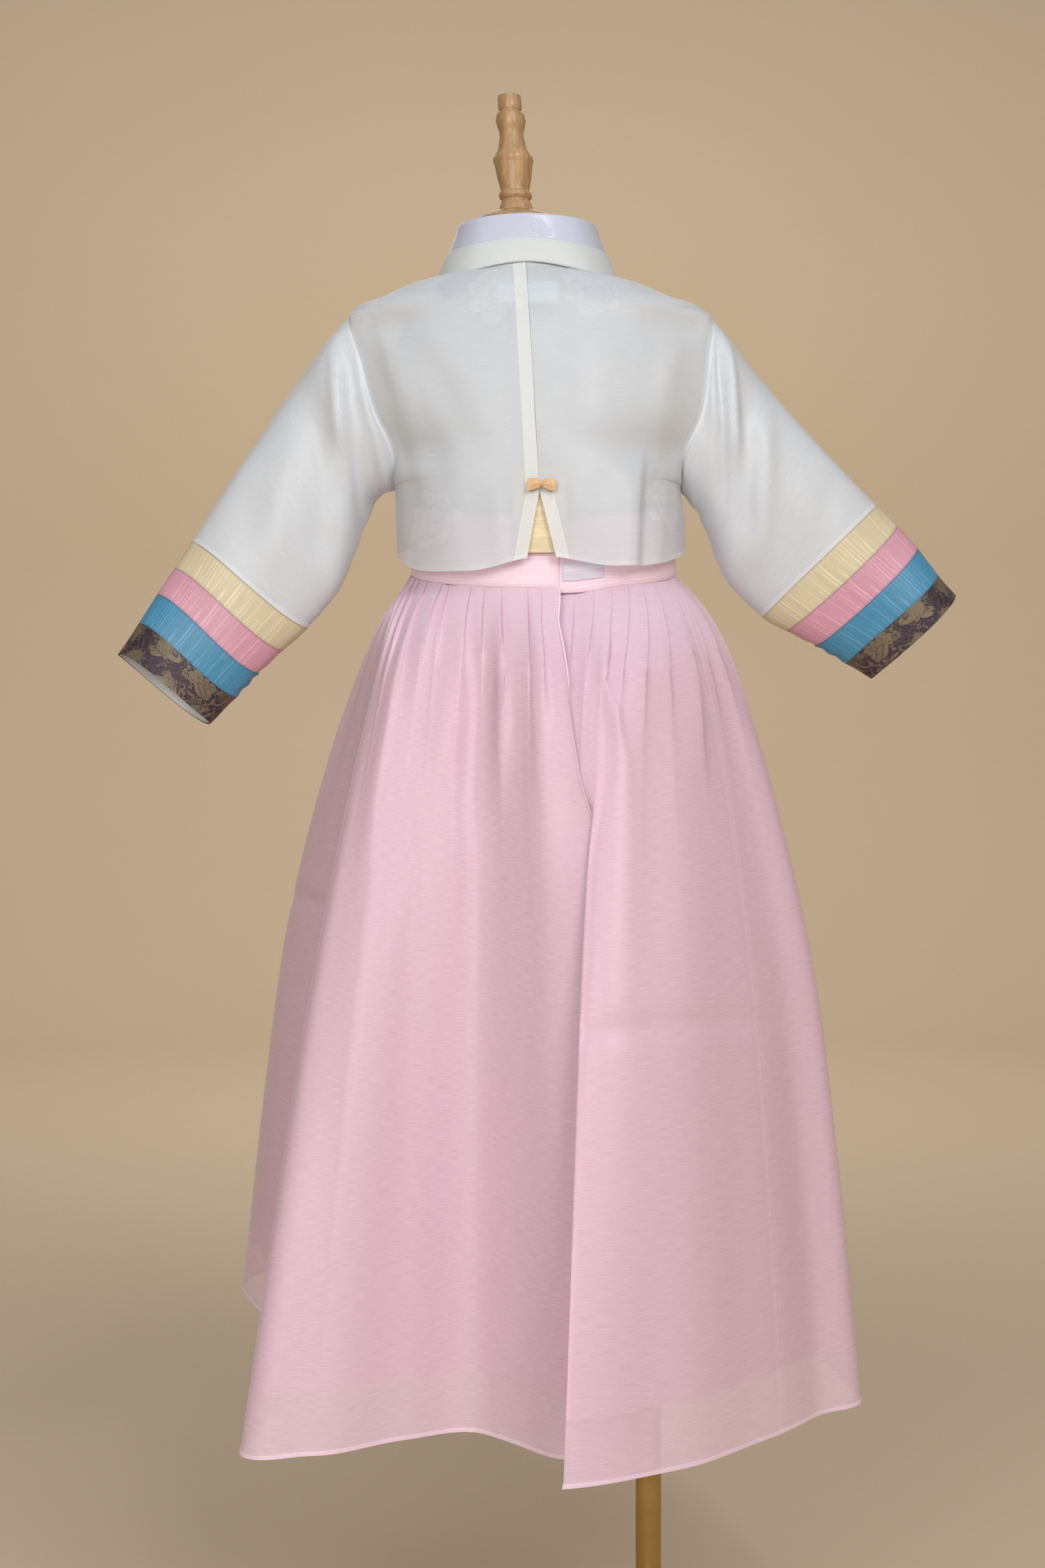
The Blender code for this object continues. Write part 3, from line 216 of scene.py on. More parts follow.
# stations of a sleeve: its upper and lower edge, half thickness, Y of its middle, and how far its back is
# drawn up the sleeve and swayed; each strip takes one station
SLEEVE_SECTIONS = {
    "left": table(
        "top_x top_z bottom_x bottom_z half y drawn sway",
        (0.2550, 1.1500, 0.2170, 1.0030, 0.046, 0.000, 0.000, 0.0),
        (0.2817, 1.1200, 0.2355, 0.9950, 0.050, 0.000, 0.001, 0.0),
        (0.3060, 1.0850, 0.2434, 0.9700, 0.043, 0.002, 0.002, 0.0),
        (0.3310, 1.0450, 0.2520, 0.9430, 0.040, 0.005, 0.002, 0.0005),
        (0.3545, 1.0120, 0.2665, 0.9140, 0.036, 0.009, 0.001, 0.0015),
        (0.3897, 0.9557, 0.2914, 0.8837, 0.030, 0.014, -0.001, 0.0028),
        (0.4034, 0.9317, 0.3114, 0.8637, 0.028, 0.017, 0.000, 0.0034),
        (0.4177, 0.9089, 0.3314, 0.8443, 0.026, 0.020, 0.001, 0.0036),
        (0.4337, 0.8849, 0.3514, 0.8243, 0.024, 0.023, 0.002, 0.0030),
        (0.4503, 0.8591, 0.3726, 0.8020, 0.023, 0.026, 0.005, 0.0016),
    ),
    "right": table(
        "top_x top_z bottom_x bottom_z half y drawn sway",
        (-0.0510, 1.1500, -0.0270, 1.0030, 0.046, 0.000, 0.000, 0.0),
        (-0.0740, 1.1240, -0.0434, 0.9830, 0.049, 0.000, 0.000, 0.0),
        (-0.1069, 1.0830, -0.0520, 0.9597, 0.043, 0.000, 0.000, 0.0),
        (-0.1400, 1.0450, -0.0611, 0.9340, 0.040, -0.001, 0.000, 0.0),
        (-0.1660, 1.0190, -0.0726, 0.9180, 0.036, -0.002, 0.001, 0.0),
        (-0.1966, 0.9889, -0.0989, 0.8940, 0.030, -0.004, 0.001, 0.0),
        (-0.2126, 0.9717, -0.1189, 0.8814, 0.028, -0.005, -0.004, -0.0006),
        (-0.2297, 0.9529, -0.1440, 0.8689, 0.026, -0.006, -0.005, -0.0008),
        (-0.2486, 0.9306, -0.1714, 0.8546, 0.024, -0.007, -0.002, -0.0016),
        (-0.2646, 0.9129, -0.1931, 0.8414, 0.022, -0.008, -0.003, -0.0010),
    ),
}
# Folds of the sleeves, hanging straight down: X at their top and foot, heights, rise, half width, and
# how much steeper the side away from the body is; the back's and then the front's.
SLEEVE_FOLDS = {
    "left": table(
        "side top_x foot_x top_z foot_z rise width steep",
        (1, 0.251, 0.221, 1.140, 0.985, 0.0054, 0.008, 1.8),
        (1, 0.258, 0.240, 1.130, 0.960, -0.0051, 0.007, 1.0),
        (1, 0.266, 0.260, 1.128, 1.030, 0.0046, 0.009, 1.4),
        (1, 0.283, 0.276, 1.100, 0.930, -0.0046, 0.013, 1.0),
        (1, 0.300, 0.318, 1.070, 0.920, 0.0041, 0.018, 1.0),
        (1, 0.258, 0.272, 1.000, 0.900, 0.0041, 0.012, 1.6),
        (1, 0.335, 0.352, 1.010, 0.900, -0.0030, 0.014, 1.0),
        (-1, 0.250, 0.238, 1.120, 0.970, 0.0044, 0.011, 1.8),
        (-1, 0.275, 0.280, 1.090, 0.920, -0.0050, 0.014, 1.0),
        (-1, 0.312, 0.330, 1.050, 0.900, 0.0039, 0.015, 1.4),
    ),
    "right": table(
        "side top_x foot_x top_z foot_z rise width steep",
        (1, -0.047, -0.056, 1.148, 1.040, 0.0049, 0.006, 2.0),
        (1, -0.040, -0.026, 1.080, 1.000, 0.0057, 0.006, 1.6),
        (1, -0.055, -0.062, 1.130, 0.985, -0.0049, 0.006, 1.0),
        (1, -0.063, -0.074, 1.132, 1.020, 0.0049, 0.008, 2.0),
        (1, -0.078, -0.082, 1.100, 0.950, -0.0049, 0.011, 1.0),
        (1, -0.098, -0.092, 1.080, 0.930, 0.0041, 0.014, 1.6),
        (1, -0.156, -0.150, 1.020, 0.930, -0.0030, 0.014, 1.0),
        (-1, -0.050, -0.038, 1.110, 0.990, 0.0044, 0.011, 1.8),
        (-1, -0.078, -0.082, 1.100, 0.950, -0.0046, 0.013, 1.0),
        (-1, -0.112, -0.108, 1.060, 0.920, 0.0037, 0.014, 1.4),
    ),
}
BANDS = ("yellow", "pink", "blue", "brocade")
FIRST_BAND = 5.0            # the station where the strips begin
CUFF_LINING = (8.0, 8.985)  # the stations between which a cuff's lining lies
BAND_GAP = 0.005            # how far a strip ends from its seam, in stations
# the collar's seam and upper edge from the middle of the neck down to the front's end, X to one side
COLLAR = table(
    "seam_x seam_y seam_z top_x top_y top_z",
    (0.000, 0.0575, 1.1850, 0.000, 0.0450, 1.2275),
    (0.050, 0.0495, 1.1780, 0.040, 0.0345, 1.2262),
    (0.0780, 0.0000, 1.1766, 0.0585, 0.000, 1.2255),
    (0.065, -0.0510, 1.1690, 0.045, -0.0400, 1.2080),
    (0.040, -0.0740, 1.1380, 0.014, -0.0640, 1.1680),
    (0.001, -0.0970, 1.0860, -0.029, -0.0850, 1.1160),
    (-0.043, -0.1030, 1.0300, -0.074, -0.0930, 1.0580),
)
COLLAR_ON_CHEST_Z = 1.165
FRONT_INSET = 0.0050
# where the two ends of the front tie hang
TAIL_FALL = table(
    "z y",
    (1.008, -0.1090), (0.985, -0.1095), (0.960, -0.1130), (0.925, -0.1260), (0.890, -0.1450),
    (0.850, -0.1640), (0.800, -0.1810), (0.755, -0.1920),
)

# ---- turned pieces: height and radius ------------------------------------------------------------
FINIAL = table(
    "z radius",
    (1.2395, 0.0150), (1.2402, 0.0156), (1.2475, 0.0130), (1.2492, 0.0121), (1.2500, 0.0121),
    (1.2520, 0.0139), (1.2537, 0.0143), (1.2555, 0.0139), (1.2575, 0.0125), (1.2590, 0.0124),
    (1.2685, 0.0145), (1.2795, 0.0163), (1.2820, 0.0166), (1.2835, 0.0173), (1.2860, 0.0171),
    (1.2872, 0.0160), (1.2880, 0.0158), (1.2925, 0.0128), (1.3045, 0.0103), (1.3085, 0.0104),
    (1.3125, 0.0118), (1.3180, 0.0130), (1.3235, 0.0118), (1.3258, 0.0094), (1.3265, 0.0093),
    (1.3280, 0.0100), (1.3300, 0.0102), (1.3370, 0.0101), (1.3395, 0.0096), (1.3400, 0.0088),
)
NECK_CAP = table(
    "z radius",
    (1.2255, 0.0330), (1.2262, 0.0352), (1.2275, 0.0361), (1.2305, 0.0361), (1.2320, 0.0350),
    (1.2350, 0.0300), (1.2375, 0.0240), (1.2388, 0.0190), (1.2390, 0.0180),
)
BASE = table(
    "z radius",
    (0.0000, 0.1480), (0.0010, 0.1495), (0.0025, 0.1500), (0.0080, 0.1500), (0.0100, 0.1490),
    (0.0110, 0.1460), (0.0125, 0.1300), (0.0150, 0.1100), (0.0180, 0.0750), (0.0200, 0.0450),
    (0.0205, 0.0290), (0.0215, 0.0262), (0.0230, 0.0258), (0.0290, 0.0226), (0.0315, 0.0218),
    (0.0332, 0.0213), (0.0340, 0.0200),
)
POLE = table(
    "z radius",
    (0.0343, 0.0110), (0.0360, 0.0110), (0.6700, 0.0110), (0.6774, 0.0110), (0.6780, 0.0120),
    (0.6782, 0.0245), (0.6788, 0.0260), (0.6838, 0.0260), (0.6847, 0.0250),
)
TORSO = table(
    "z half_width half_depth",
    (0.685, 0.1000, 0.080), (0.687, 0.1035, 0.083), (0.692, 0.1060, 0.085),
    (0.740, 0.1100, 0.089), (0.810, 0.1040, 0.082), (0.865, 0.0970, 0.074),
    (0.930, 0.0970, 0.074), (1.000, 0.1010, 0.077), (1.070, 0.1080, 0.075),
    (1.115, 0.1120, 0.064), (1.140, 0.1020, 0.053), (1.155, 0.0800, 0.046),
    (1.168, 0.0560, 0.042), (1.190, 0.0420, 0.040), (1.2250, 0.0410, 0.039),
)


# ---- shared sums ---------------------------------------------------------------------------------
def smooth(value):
    """0 below 0, 1 above 1, and the even S 3v^2 - 2v^3 between."""
    value = np.clip(value, 0.0, 1.0)
    return value * value * (3.0 - 2.0 * value)


def curve(stations, values, at):
    """The smooth curve through the given values: cubic steps with slopes taken from their neighbours."""
    stations = np.asarray(stations, float)
    values = np.asarray(values, float)
    at = np.clip(np.asarray(at, float), stations[0], stations[-1])
    slopes = np.gradient(values, stations)
    index = np.clip(np.searchsorted(stations, at, side="right") - 1, 0, len(stations) - 2)
    step = stations[index + 1] - stations[index]
    u = (at - stations[index]) / step
    start = (1 + 2 * u) * (1 - u) ** 2 * values[index] + u * (1 - u) ** 2 * step * slopes[index]
    end = u * u * (3 - 2 * u) * values[index + 1] + u * u * (u - 1) * step * slopes[index + 1]
    return start + end


def unit(vectors):
    """Vectors of length 1."""
    return vectors / np.maximum(np.linalg.norm(vectors, axis=-1, keepdims=True), 1e-12)


def outward(middle, closed=False):
    """Normals of a grid, from the cross of its two directions, up to twice as long at a fold so that a
    wall keeps its thickness round it."""
    if closed:
        ahead = np.roll(middle, -1, axis=1) - middle
        behind = middle - np.roll(middle, 1, axis=1)
    else:
        steps = np.diff(middle, axis=1)
        ahead = np.concatenate([steps, steps[:, -1:]], axis=1)
        behind = np.concatenate([steps[:, :1], steps], axis=1)
    along = np.gradient(middle, axis=0)
    after = unit(np.cross(ahead, along))
    mean = unit(unit(np.cross(behind, along)) + after)
    return mean / np.clip(np.sum(mean * after, axis=-1, keepdims=True), 0.5, 1.0)


def fold_profile(distance, width, steep):
    """A ridge exp(-(d/w)^2) whose far side falls off `steep` times as fast as its near side."""
    return np.exp(-((distance * np.where(distance > 0, steep, 1.0) / width) ** 2))


def hanging_folds(folds, hand, x, z):
    """Sum of the folds of one piece at X and a height: each ridge follows a straight line from its top to
    its foot, and swells and dies away between them."""
    total = np.zeros(np.broadcast(x, z).shape)
    for number in np.flatnonzero(folds[list(folds)[0]] == hand):
        row = {key: folds[key][number] for key in folds}
        fallen = (row["top_z"] - z) / (row["top_z"] - row["foot_z"])
        line = row["top_x"] + (row["foot_x"] - row["top_x"]) * fallen
        outer = 1.0 if row["top_x"] > 0.1 else -1.0
        swell = smooth(fallen * 2.5 + 0.1) * smooth((1 - fallen) * 3.5 + 0.35)
        total = total + row["rise"] * swell * fold_profile((x - line) * outer, row["width"], row["steep"])
    return total


def clothes_x(z):
    """X of the clothes' own axis at a height."""
    return NECK_SEAM_X - CLOTHES_LEAN * (NECK_SEAM_Z - z)


def form_x(z):
    """X of the leaning form's axis at a height."""
    return FORM_TOP_X - FORM_LEAN * (FORM_TOP - z)


# ---- grids into meshes ---------------------------------------------------------------------------
def grid_faces(rows, columns, closed=False):
    """The four corners of every face of a grid, as indices; a closed grid joins its last column to its
    first."""
    across = columns if closed else columns - 1
    row, column = np.meshgrid(np.arange(rows - 1), np.arange(across), indexing="ij")
    here = row * columns + column
    beside = row * columns + (column + 1) % columns
    return np.stack([here, beside, beside + columns, here + columns], axis=-1).reshape(-1, 4)


def volume(points, quads, caps=()):
    """Volume inside the faces, from the triple products of their triangles."""
    fans = [(quads[:, 0], quads[:, 1], quads[:, 2]), (quads[:, 0], quads[:, 2], quads[:, 3])]
    fans += [(np.full(len(cap) - 2, cap[0]), cap[1:-1], cap[2:]) for cap in caps]
    a, b, c = (np.concatenate(side) for side in zip(*fans))
    return np.sum(points[a] * np.cross(points[b], points[c])) / 6.0


def add_mesh(name, points, quads, caps=(), spots=None, place=None, marks=None, sharp=50.0):
    """One object from points, four-sided faces and end caps, turned to face outwards.

    `place` holds UV points in metres and `spots` which of them each corner uses; `marks` holds numbers
    for every point, kept as attributes for the materials.
    """
    if volume(points, quads, caps) < 0:
        quads = quads[:, ::-1]
        caps = [cap[::-1] for cap in caps]
        spots = None if spots is None else spots[:, ::-1]
    counts = np.concatenate([np.full(len(quads), 4), np.array([len(cap) for cap in caps], int)]).astype(int)
    mesh = bpy.data.meshes.new(name)
    mesh.vertices.add(len(points))
    mesh.vertices.foreach_set("co", np.asarray(points, np.float32).ravel())
    mesh.loops.add(int(counts.sum()))
    mesh.loops.foreach_set("vertex_index", np.concatenate([quads.ravel(), *caps]).astype(np.int32))
    mesh.polygons.add(len(counts))
    mesh.polygons.foreach_set("loop_start", (np.cumsum(counts) - counts).astype(np.int32))
    mesh.update(calc_edges=True)
    if place is not None:
        layer = mesh.uv_layers.new(name="cloth")
        layer.data.foreach_set("uv", place[spots.ravel()].astype(np.float32).ravel())
    for key, values in (marks or {}).items():
        mesh.attributes.new(key, "FLOAT", "POINT").data.foreach_set("value", values.astype(np.float32))
    mesh.shade_smooth()
    mesh.set_sharp_from_angle(angle=math.radians(sharp))
    made = bpy.data.objects.new(name, mesh)
    bpy.context.scene.collection.objects.link(made)
    return made


def lengths(middle, closed=False):
    """UV of a grid in metres: lengths summed along each row, and down each column from its first row."""
    ring = np.concatenate([middle, middle[:, :1]], axis=1) if closed else middle
    steps = np.linalg.norm(np.diff(ring, axis=1), axis=-1)
    falls = np.linalg.norm(np.diff(ring, axis=0), axis=-1)
    u = np.concatenate([np.zeros((len(ring), 1)), np.cumsum(steps, axis=1)], axis=1)
    v = np.concatenate([np.zeros((1, ring.shape[1])), np.cumsum(falls, axis=0)], axis=0)
    return np.stack([u, v], axis=-1)


def to_border(middle, borders, closed=False):
    """Distance over the cloth to the nearest of the named borders: first or last row, start or end
    column; 1 where there is none."""
    place = lengths(middle, closed)[:, : middle.shape[1]]
    u, v = place[..., 0], place[..., 1]
    away = {"start": u, "end": u[:, -1:] - u, "first": v, "last": v[-1:] - v}
    return np.minimum.reduce([np.ones(u.shape)] + [away[border] for border in borders.split()])


def edges(middle, borders, closed=False):
    """The mark that tells a material how far each point lies from the named borders."""
    return {"edge": to_border(middle, borders, closed)}


def cloth_wall(name, middle, thickness, place=None, marks=None, closed=False):
    """A closed wall about a grid of middle points: its two skins lie half a thickness off along the
    grid's normals, and a strip of faces closes each rim."""
    rows, columns = middle.shape[:2]
    place = lengths(middle, closed) if place is None else place
    off = outward(middle, closed) * np.broadcast_to(thickness, (rows, columns))[..., None] / 2
    points = np.concatenate([(middle + off).reshape(-1, 3), (middle - off).reshape(-1, 3)])
    skin = grid_faces(rows, columns, closed)
    spot = grid_faces(rows, place.shape[1])
    quads = [skin, skin[:, ::-1] + rows * columns]
    spots = [spot, spot[:, ::-1]]
    index = np.arange(rows * columns).reshape(rows, columns)
    index = np.concatenate([index, index[:, :1]], axis=1) if closed else index
    where = np.arange(rows * place.shape[1]).reshape(rows, -1)
    rims = [(index[0], where[0]), (index[-1, ::-1], where[-1, ::-1])]
    if not closed:
        rims += [(index[:, -1], where[:, -1]), (index[::-1, 0], where[::-1, 0])]
    for line, mark in rims:
        far = line + rows * columns
        quads.append(np.stack([line[1:], line[:-1], far[:-1], far[1:]], axis=1))
        spots.append(np.stack([mark[1:], mark[:-1], mark[:-1], mark[1:]], axis=1))
    both = {key: np.tile(values.ravel(), 2) for key, values in (marks or {}).items()}
    place = place.reshape(-1, 2)
    return add_mesh(name, points, np.concatenate(quads), (), np.concatenate(spots), place, both)


def loft(name, rings, sharp=40.0):
    """A solid through closed rings of equal length, with a flat cap on each end; UV runs round and along
    it in metres."""
    rings = np.asarray(rings, float)
    count, around = rings.shape[:2]
    place = lengths(rings, True)
    quads = grid_faces(count, around, True)
    spots = grid_faces(count, around + 1)
    circle = np.arange(around)
    caps = [circle[::-1], (count - 1) * around + circle]
    cap_spots = [circle[::-1], (count - 1) * (around + 1) + circle]
    made = add_mesh(name, rings.reshape(-1, 3), quads, caps, sharp=sharp)
    if made.data.loops[0].vertex_index != quads[0, 0]:
        spots = spots[:, ::-1]
        cap_spots = [cap[::-1] for cap in cap_spots]
    corners = np.concatenate([spots.ravel(), *cap_spots])
    layer = made.data.uv_layers.new(name="cloth")
    layer.data.foreach_set("uv", place.reshape(-1, 2)[corners].astype(np.float32).ravel())
    return made


def around_once(count):
    """Angles of a closed ring in even steps from 0."""
    return np.arange(count) * 2 * PI / count


def points_at(x, y, z):
    """Points from grids of X, Y and Z, each spread over the others' rows and columns."""
    return np.stack(np.broadcast_arrays(x, y, z), axis=-1)


def turned(name, profile, axis, around=96):
    """A turned piece: level circles at the profile's heights and radii about axis(height), an X value."""
    turn = around_once(around)
    z = profile["z"][:, None] + np.zeros(around)
    x = axis(z) + profile["radius"][:, None] * np.cos(turn)
    y = profile["radius"][:, None] * np.sin(turn)
    return loft(name, points_at(x, y, z), sharp=30.0)


# ---- materials -----------------------------------------------------------------------------------
class Wire:
    """A number, colour or vector inside a material; expressions on numbers add their Math nodes."""

    def __init__(self, recipe, socket):
        """Keep the material's recipe and the socket that carries the value."""
        self.recipe = recipe
        self.socket = socket

    def math(self, operation, *others):
        """This value, then the others, through one Math node."""
        return self.recipe.node("ShaderNodeMath", {"operation": operation}, dict(enumerate((self, *others))))

    def reflected(self, operation, other):
        """The other value first, then this one, through one Math node."""
        return self.recipe.node("ShaderNodeMath", {"operation": operation}, {0: other, 1: self})

    def __add__(self, other):
        return self.math("ADD", other)

    def __radd__(self, other):
        return self.math("ADD", other)

    def __sub__(self, other):
        return self.math("SUBTRACT", other)

    def __rsub__(self, other):
        return self.reflected("SUBTRACT", other)

    def __mul__(self, other):
        return self.math("MULTIPLY", other)

    def __rmul__(self, other):
        return self.math("MULTIPLY", other)

    def __truediv__(self, other):
        return self.math("DIVIDE", other)

    def __rtruediv__(self, other):
        return self.reflected("DIVIDE", other)

    def __pow__(self, other):
        return self.math("POWER", other)

    def __neg__(self):
        return self.math("MULTIPLY", -1.0)

    def __abs__(self):
        return self.math("ABSOLUTE")


class Recipe:
    """One procedural material: a Principled surface and the nodes that feed it."""

    def __init__(self, name):
        """A new Principled material of the given name."""
        self.material = bpy.data.materials.new(name)
        self.material.use_nodes = True
        self.tree = self.material.node_tree
        self.surface = self.tree.nodes["Principled BSDF"]

    def node(self, kind, settings=(), sockets=(), out=0):
        """A node of one kind: its settings first, then the values or links of its sockets."""
        made = self.tree.nodes.new(kind)
        for key, value in dict(settings).items():
            setattr(made, key, value)
        self.feed(made, sockets)
        return Wire(self, made.outputs[out])

    def feed(self, made, sockets):
        """Set or link a node's sockets."""
        for key, value in dict(sockets).items():
            if isinstance(value, Wire):
                self.tree.links.new(value.socket, made.inputs[key])
            else:
                made.inputs[key].default_value = value

    def cloth(self, scale=(1.0, 1.0)):
        """The place on the flat cloth, in metres, times a scale each way."""
        flat = self.node("ShaderNodeUVMap", {"uv_map": "cloth"})
        return self.node("ShaderNodeMapping", {}, {"Vector": flat, "Scale": (scale[0], scale[1], 1.0)})

    def here(self, scale=(1.0, 1.0, 1.0)):
        """The place in space, in metres, times a scale each way."""
        place = self.node("ShaderNodeTexCoord", {}, {}, "Object")
        return self.node("ShaderNodeMapping", {}, {"Vector": place, "Scale": scale})

    def mark(self, name):
        """A number kept on the mesh."""
        return self.node("ShaderNodeAttribute", {"attribute_name": name}, {}, "Fac")

    def parts(self, vector):
        """X and Y of a vector."""
        made = self.tree.nodes.new("ShaderNodeSeparateXYZ")
        self.feed(made, {0: vector})
        return Wire(self, made.outputs[0]), Wire(self, made.outputs[1])

    def noise(self, vector, scale, detail=2.0, roughness=0.5, flat=False):
        """Soft noise, about 0.5 on average; flat noise reads X and Y alone."""
        wanted = {"Vector": vector, "Scale": scale, "Detail": detail, "Roughness": roughness}
        return self.node("ShaderNodeTexNoise", {"noise_dimensions": "2D" if flat else "3D"}, wanted)

    def step(self, value, low, high):
        """0 below `low`, 1 above `high` and an even S between; falling where low is above high."""
        wanted = {0: value, 1: low, 2: high, 3: 0.0, 4: 1.0}
        if low > high:
            wanted = {0: value, 1: high, 2: low, 3: 1.0, 4: 0.0}
        return self.node("ShaderNodeMapRange", {"interpolation_type": "SMOOTHSTEP"}, wanted)

    def blend(self, share, first, second):
        """From the first colour to the second by a share."""
        first = (*first, 1.0) if isinstance(first, tuple) else first
        second = (*second, 1.0) if isinstance(second, tuple) else second
        return self.node("ShaderNodeMix", {"data_type": "RGBA"}, {0: share, 6: first, 7: second}, 2)

    def bump(self, height, depth, strength=1.0):
        """A normal from heights of 0 to 1 that stand for the given depth in metres."""
        return self.node("ShaderNodeBump", {}, {"Height": height, "Distance": depth, "Strength": strength})

    def finish(self, **sockets):
        """Feed the Principled surface; words of a socket's name are joined by underscores."""
        self.feed(self.surface, {key.replace("_", " "): value for key, value in sockets.items()})
        return self.material


def flowers(recipe, vector, tile, size, shift=(0.0, 0.0), loose=0.25):
    """Round flowers, one in each tile, in rows that are offset by half a tile.

    Slow noise first bends the plane a little. A flower is three rings of petals: a ring's edge lies at
    radius r (0.74 + 0.26 |sin(n a / 2 + p)|) for n petals at angle a, and thin gaps follow the inner
    rings' edges and part the outer petals. 1 on the petals, 0 on the ground.
    """
    bent = recipe.node("ShaderNodeTexNoise", {"noise_dimensions": "2D"},
                       {"Vector": vector, "Scale": 0.9 / size, "Detail": 0.0}, "Color")
    bent = recipe.node("ShaderNodeVectorMath", {"operation": "MULTIPLY_ADD"},
                       {0: bent, 1: (size * loose * 2, size * loose * 2, 0.0), 2: vector})
    u, v = recipe.parts(bent)
    v = v / tile[1] + shift[1]
    u = u / tile[0] + shift[0] + v.math("FLOOR") * 0.5
    x = (u.math("FRACT") - 0.5) * tile[0]
    y = (v.math("FRACT") - 0.5) * tile[1]
    radius = (x * x + y * y) ** 0.5
    angle = y.math("ARCTAN2", x)
    shape = None
    for share, petals, phase in ((1.0, 7, 0.3), (0.66, 6, 1.1), (0.34, 5, 0.7)):
        petal = abs((angle * (petals / 2) + phase).math("SINE"))
        gap = (0.74 + petal * 0.26) * (size * share) - radius
        if shape is None:
            shape = recipe.step(gap, 0.0, size * 0.06) * (0.45 + recipe.step(petal, 0.02, 0.30) * 0.55)
        else:
            shape = shape * (0.25 + recipe.step(abs(gap), size * 0.015, size * 0.06) * 0.75)
    return shape


def choices():
    """The sizes and colours that the sidebar shows."""
    return bpy.context.scene.hanbok


def weave(recipe, place, along, across, detail=1.0):
    """Uneven threads: noise drawn out along one direction, as slubs are."""
    stretched = recipe.node("ShaderNodeMapping", {}, {"Vector": place, "Scale": (along, across, 1.0)})
    return recipe.noise(stretched, 1.0, detail, 0.6, True)


def shades(colour, *factors):
    """The same colour darker or lighter, once for each factor."""
    return [tuple(min(1.0, value * factor) for value in colour) for factor in factors]


# between which values of their noise slubs go from dark to light, and the ribs' distance in the brocade
UNEVEN = (0.36, 0.64)
RIB_PITCH = 0.0009


def skirt_organza():
    """Pink organza of the skirt: sheer, with fine slubs across the drop; denser and paler along the seams
    and at its rolled hems, denser near its top, where the pleats lie over each other, and painted paler
    there: painted light that lifts the shade just under the waistband."""
    recipe = Recipe("skirt_organza")
    dark, light, pale = shades(choices().skirt_pink, 0.96, 1.03, 1.08)
    place = recipe.cloth()
    slub = weave(recipe, place, 60.0, 2600.0)
    hem = recipe.step(recipe.mark("edge"), 0.0036, 0.0028)
    seam = recipe.step(recipe.mark("seam"), 0.0050, 0.0036)
    colour = recipe.blend(recipe.step(slub, *UNEVEN), dark, light)
    # painted light: the top strip of the cloth is blended towards a paler pink to lift the shade under the
    # waistband
    top = recipe.step(recipe.parts(place)[1], -0.090, -0.010)
    colour = recipe.blend(hem * 0.3 + seam * 0.05 + top * 0.5, colour, pale)
    opaque = 0.46 + slub * 0.10 + seam * 0.05 + top * 0.20 + hem * 0.26
    return recipe.finish(Base_Color=colour, Alpha=opaque, Roughness=0.40,
                         Sheen_Weight=0.25, Sheen_Roughness=0.4)


def skirt_lining():
    """The lining: a soft opaque pink cloth, close and smooth."""
    recipe = Recipe("skirt_lining")
    seamed, dark, pink = shades(choices().lining_pink, 0.90, 0.96, 1.0)
    place = recipe.cloth()
    slub = weave(recipe, place, 30.0, 1300.0)
    cloud = recipe.noise(place, 5.0, 1.0, 0.5, True)
    seam = recipe.step(recipe.mark("seam"), 0.0070, 0.0060)
    colour = recipe.blend(recipe.step(cloud, 0.3, 0.7), dark, pink)
    colour = recipe.blend(seam * 0.5, colour, seamed)
    return recipe.finish(Base_Color=colour, Roughness=0.5, Normal=recipe.bump(slub, 0.0003, 0.3))


def waist_cloth():
    """Pink cloth of the waistband, with a line of stitches along each long edge."""
    recipe = Recipe("waist_cloth")
    dark, light = shades(choices().skirt_pink, 0.98, 1.05)
    place = recipe.cloth()
    along = recipe.parts(place)[0]
    slub = weave(recipe, place, 22.0, 900.0)
    edge = recipe.mark("edge")
    line = recipe.step(abs(edge - 0.0025), 0.0005, 0.0003)
    stitch = line * recipe.step(abs((along * 350.0).math("FRACT") - 0.5), 0.42, 0.36)
    colour = recipe.blend(recipe.step(slub, *UNEVEN), dark, light)
    colour = recipe.blend(stitch * 0.6, colour, (0.90, 0.72, 0.78))
    height = slub * 0.4 + recipe.step(edge, 0.0, 0.0016) - stitch * 0.5
    return recipe.finish(Base_Color=colour, Roughness=0.45, Normal=recipe.bump(height, 0.0006, 0.6))


def jacket_organza(name, opaque, flowers_at):
    """White organza with tone-on-tone flowers: denser on the flowers, over the folded allowances and
    along the seams."""
    recipe = Recipe(name)
    dark, white, bright = shades(choices().jacket_white, 0.96, 1.0, 1.05)
    place = recipe.cloth()
    slub = weave(recipe, place, 60.0, 2200.0)
    bloom = flowers(recipe, place, (0.135, 0.190), 0.028, flowers_at)
    facing = recipe.step(recipe.mark("facing"), 0.0112, 0.0106)
    seam = recipe.step(recipe.mark("seam"), 0.0042, 0.0034)
    hem = recipe.step(recipe.mark("edge"), 0.0040, 0.0034)
    colour = recipe.blend(recipe.step(slub, *UNEVEN), dark, white)
    colour = recipe.blend(bloom * 0.15 + seam * 0.3, colour, bright)
    colour = recipe.blend(facing * 0.7, colour, tuple(choices().facing))
    cover = opaque + slub * 0.04 + bloom * 0.045 + facing * 0.20 + seam * 0.10 + hem * 0.12
    cover = cover.math("MINIMUM", 1.0)
    return recipe.finish(Base_Color=colour, Alpha=cover, Roughness=0.40,
                         Sheen_Weight=0.25, Sheen_Roughness=0.35)


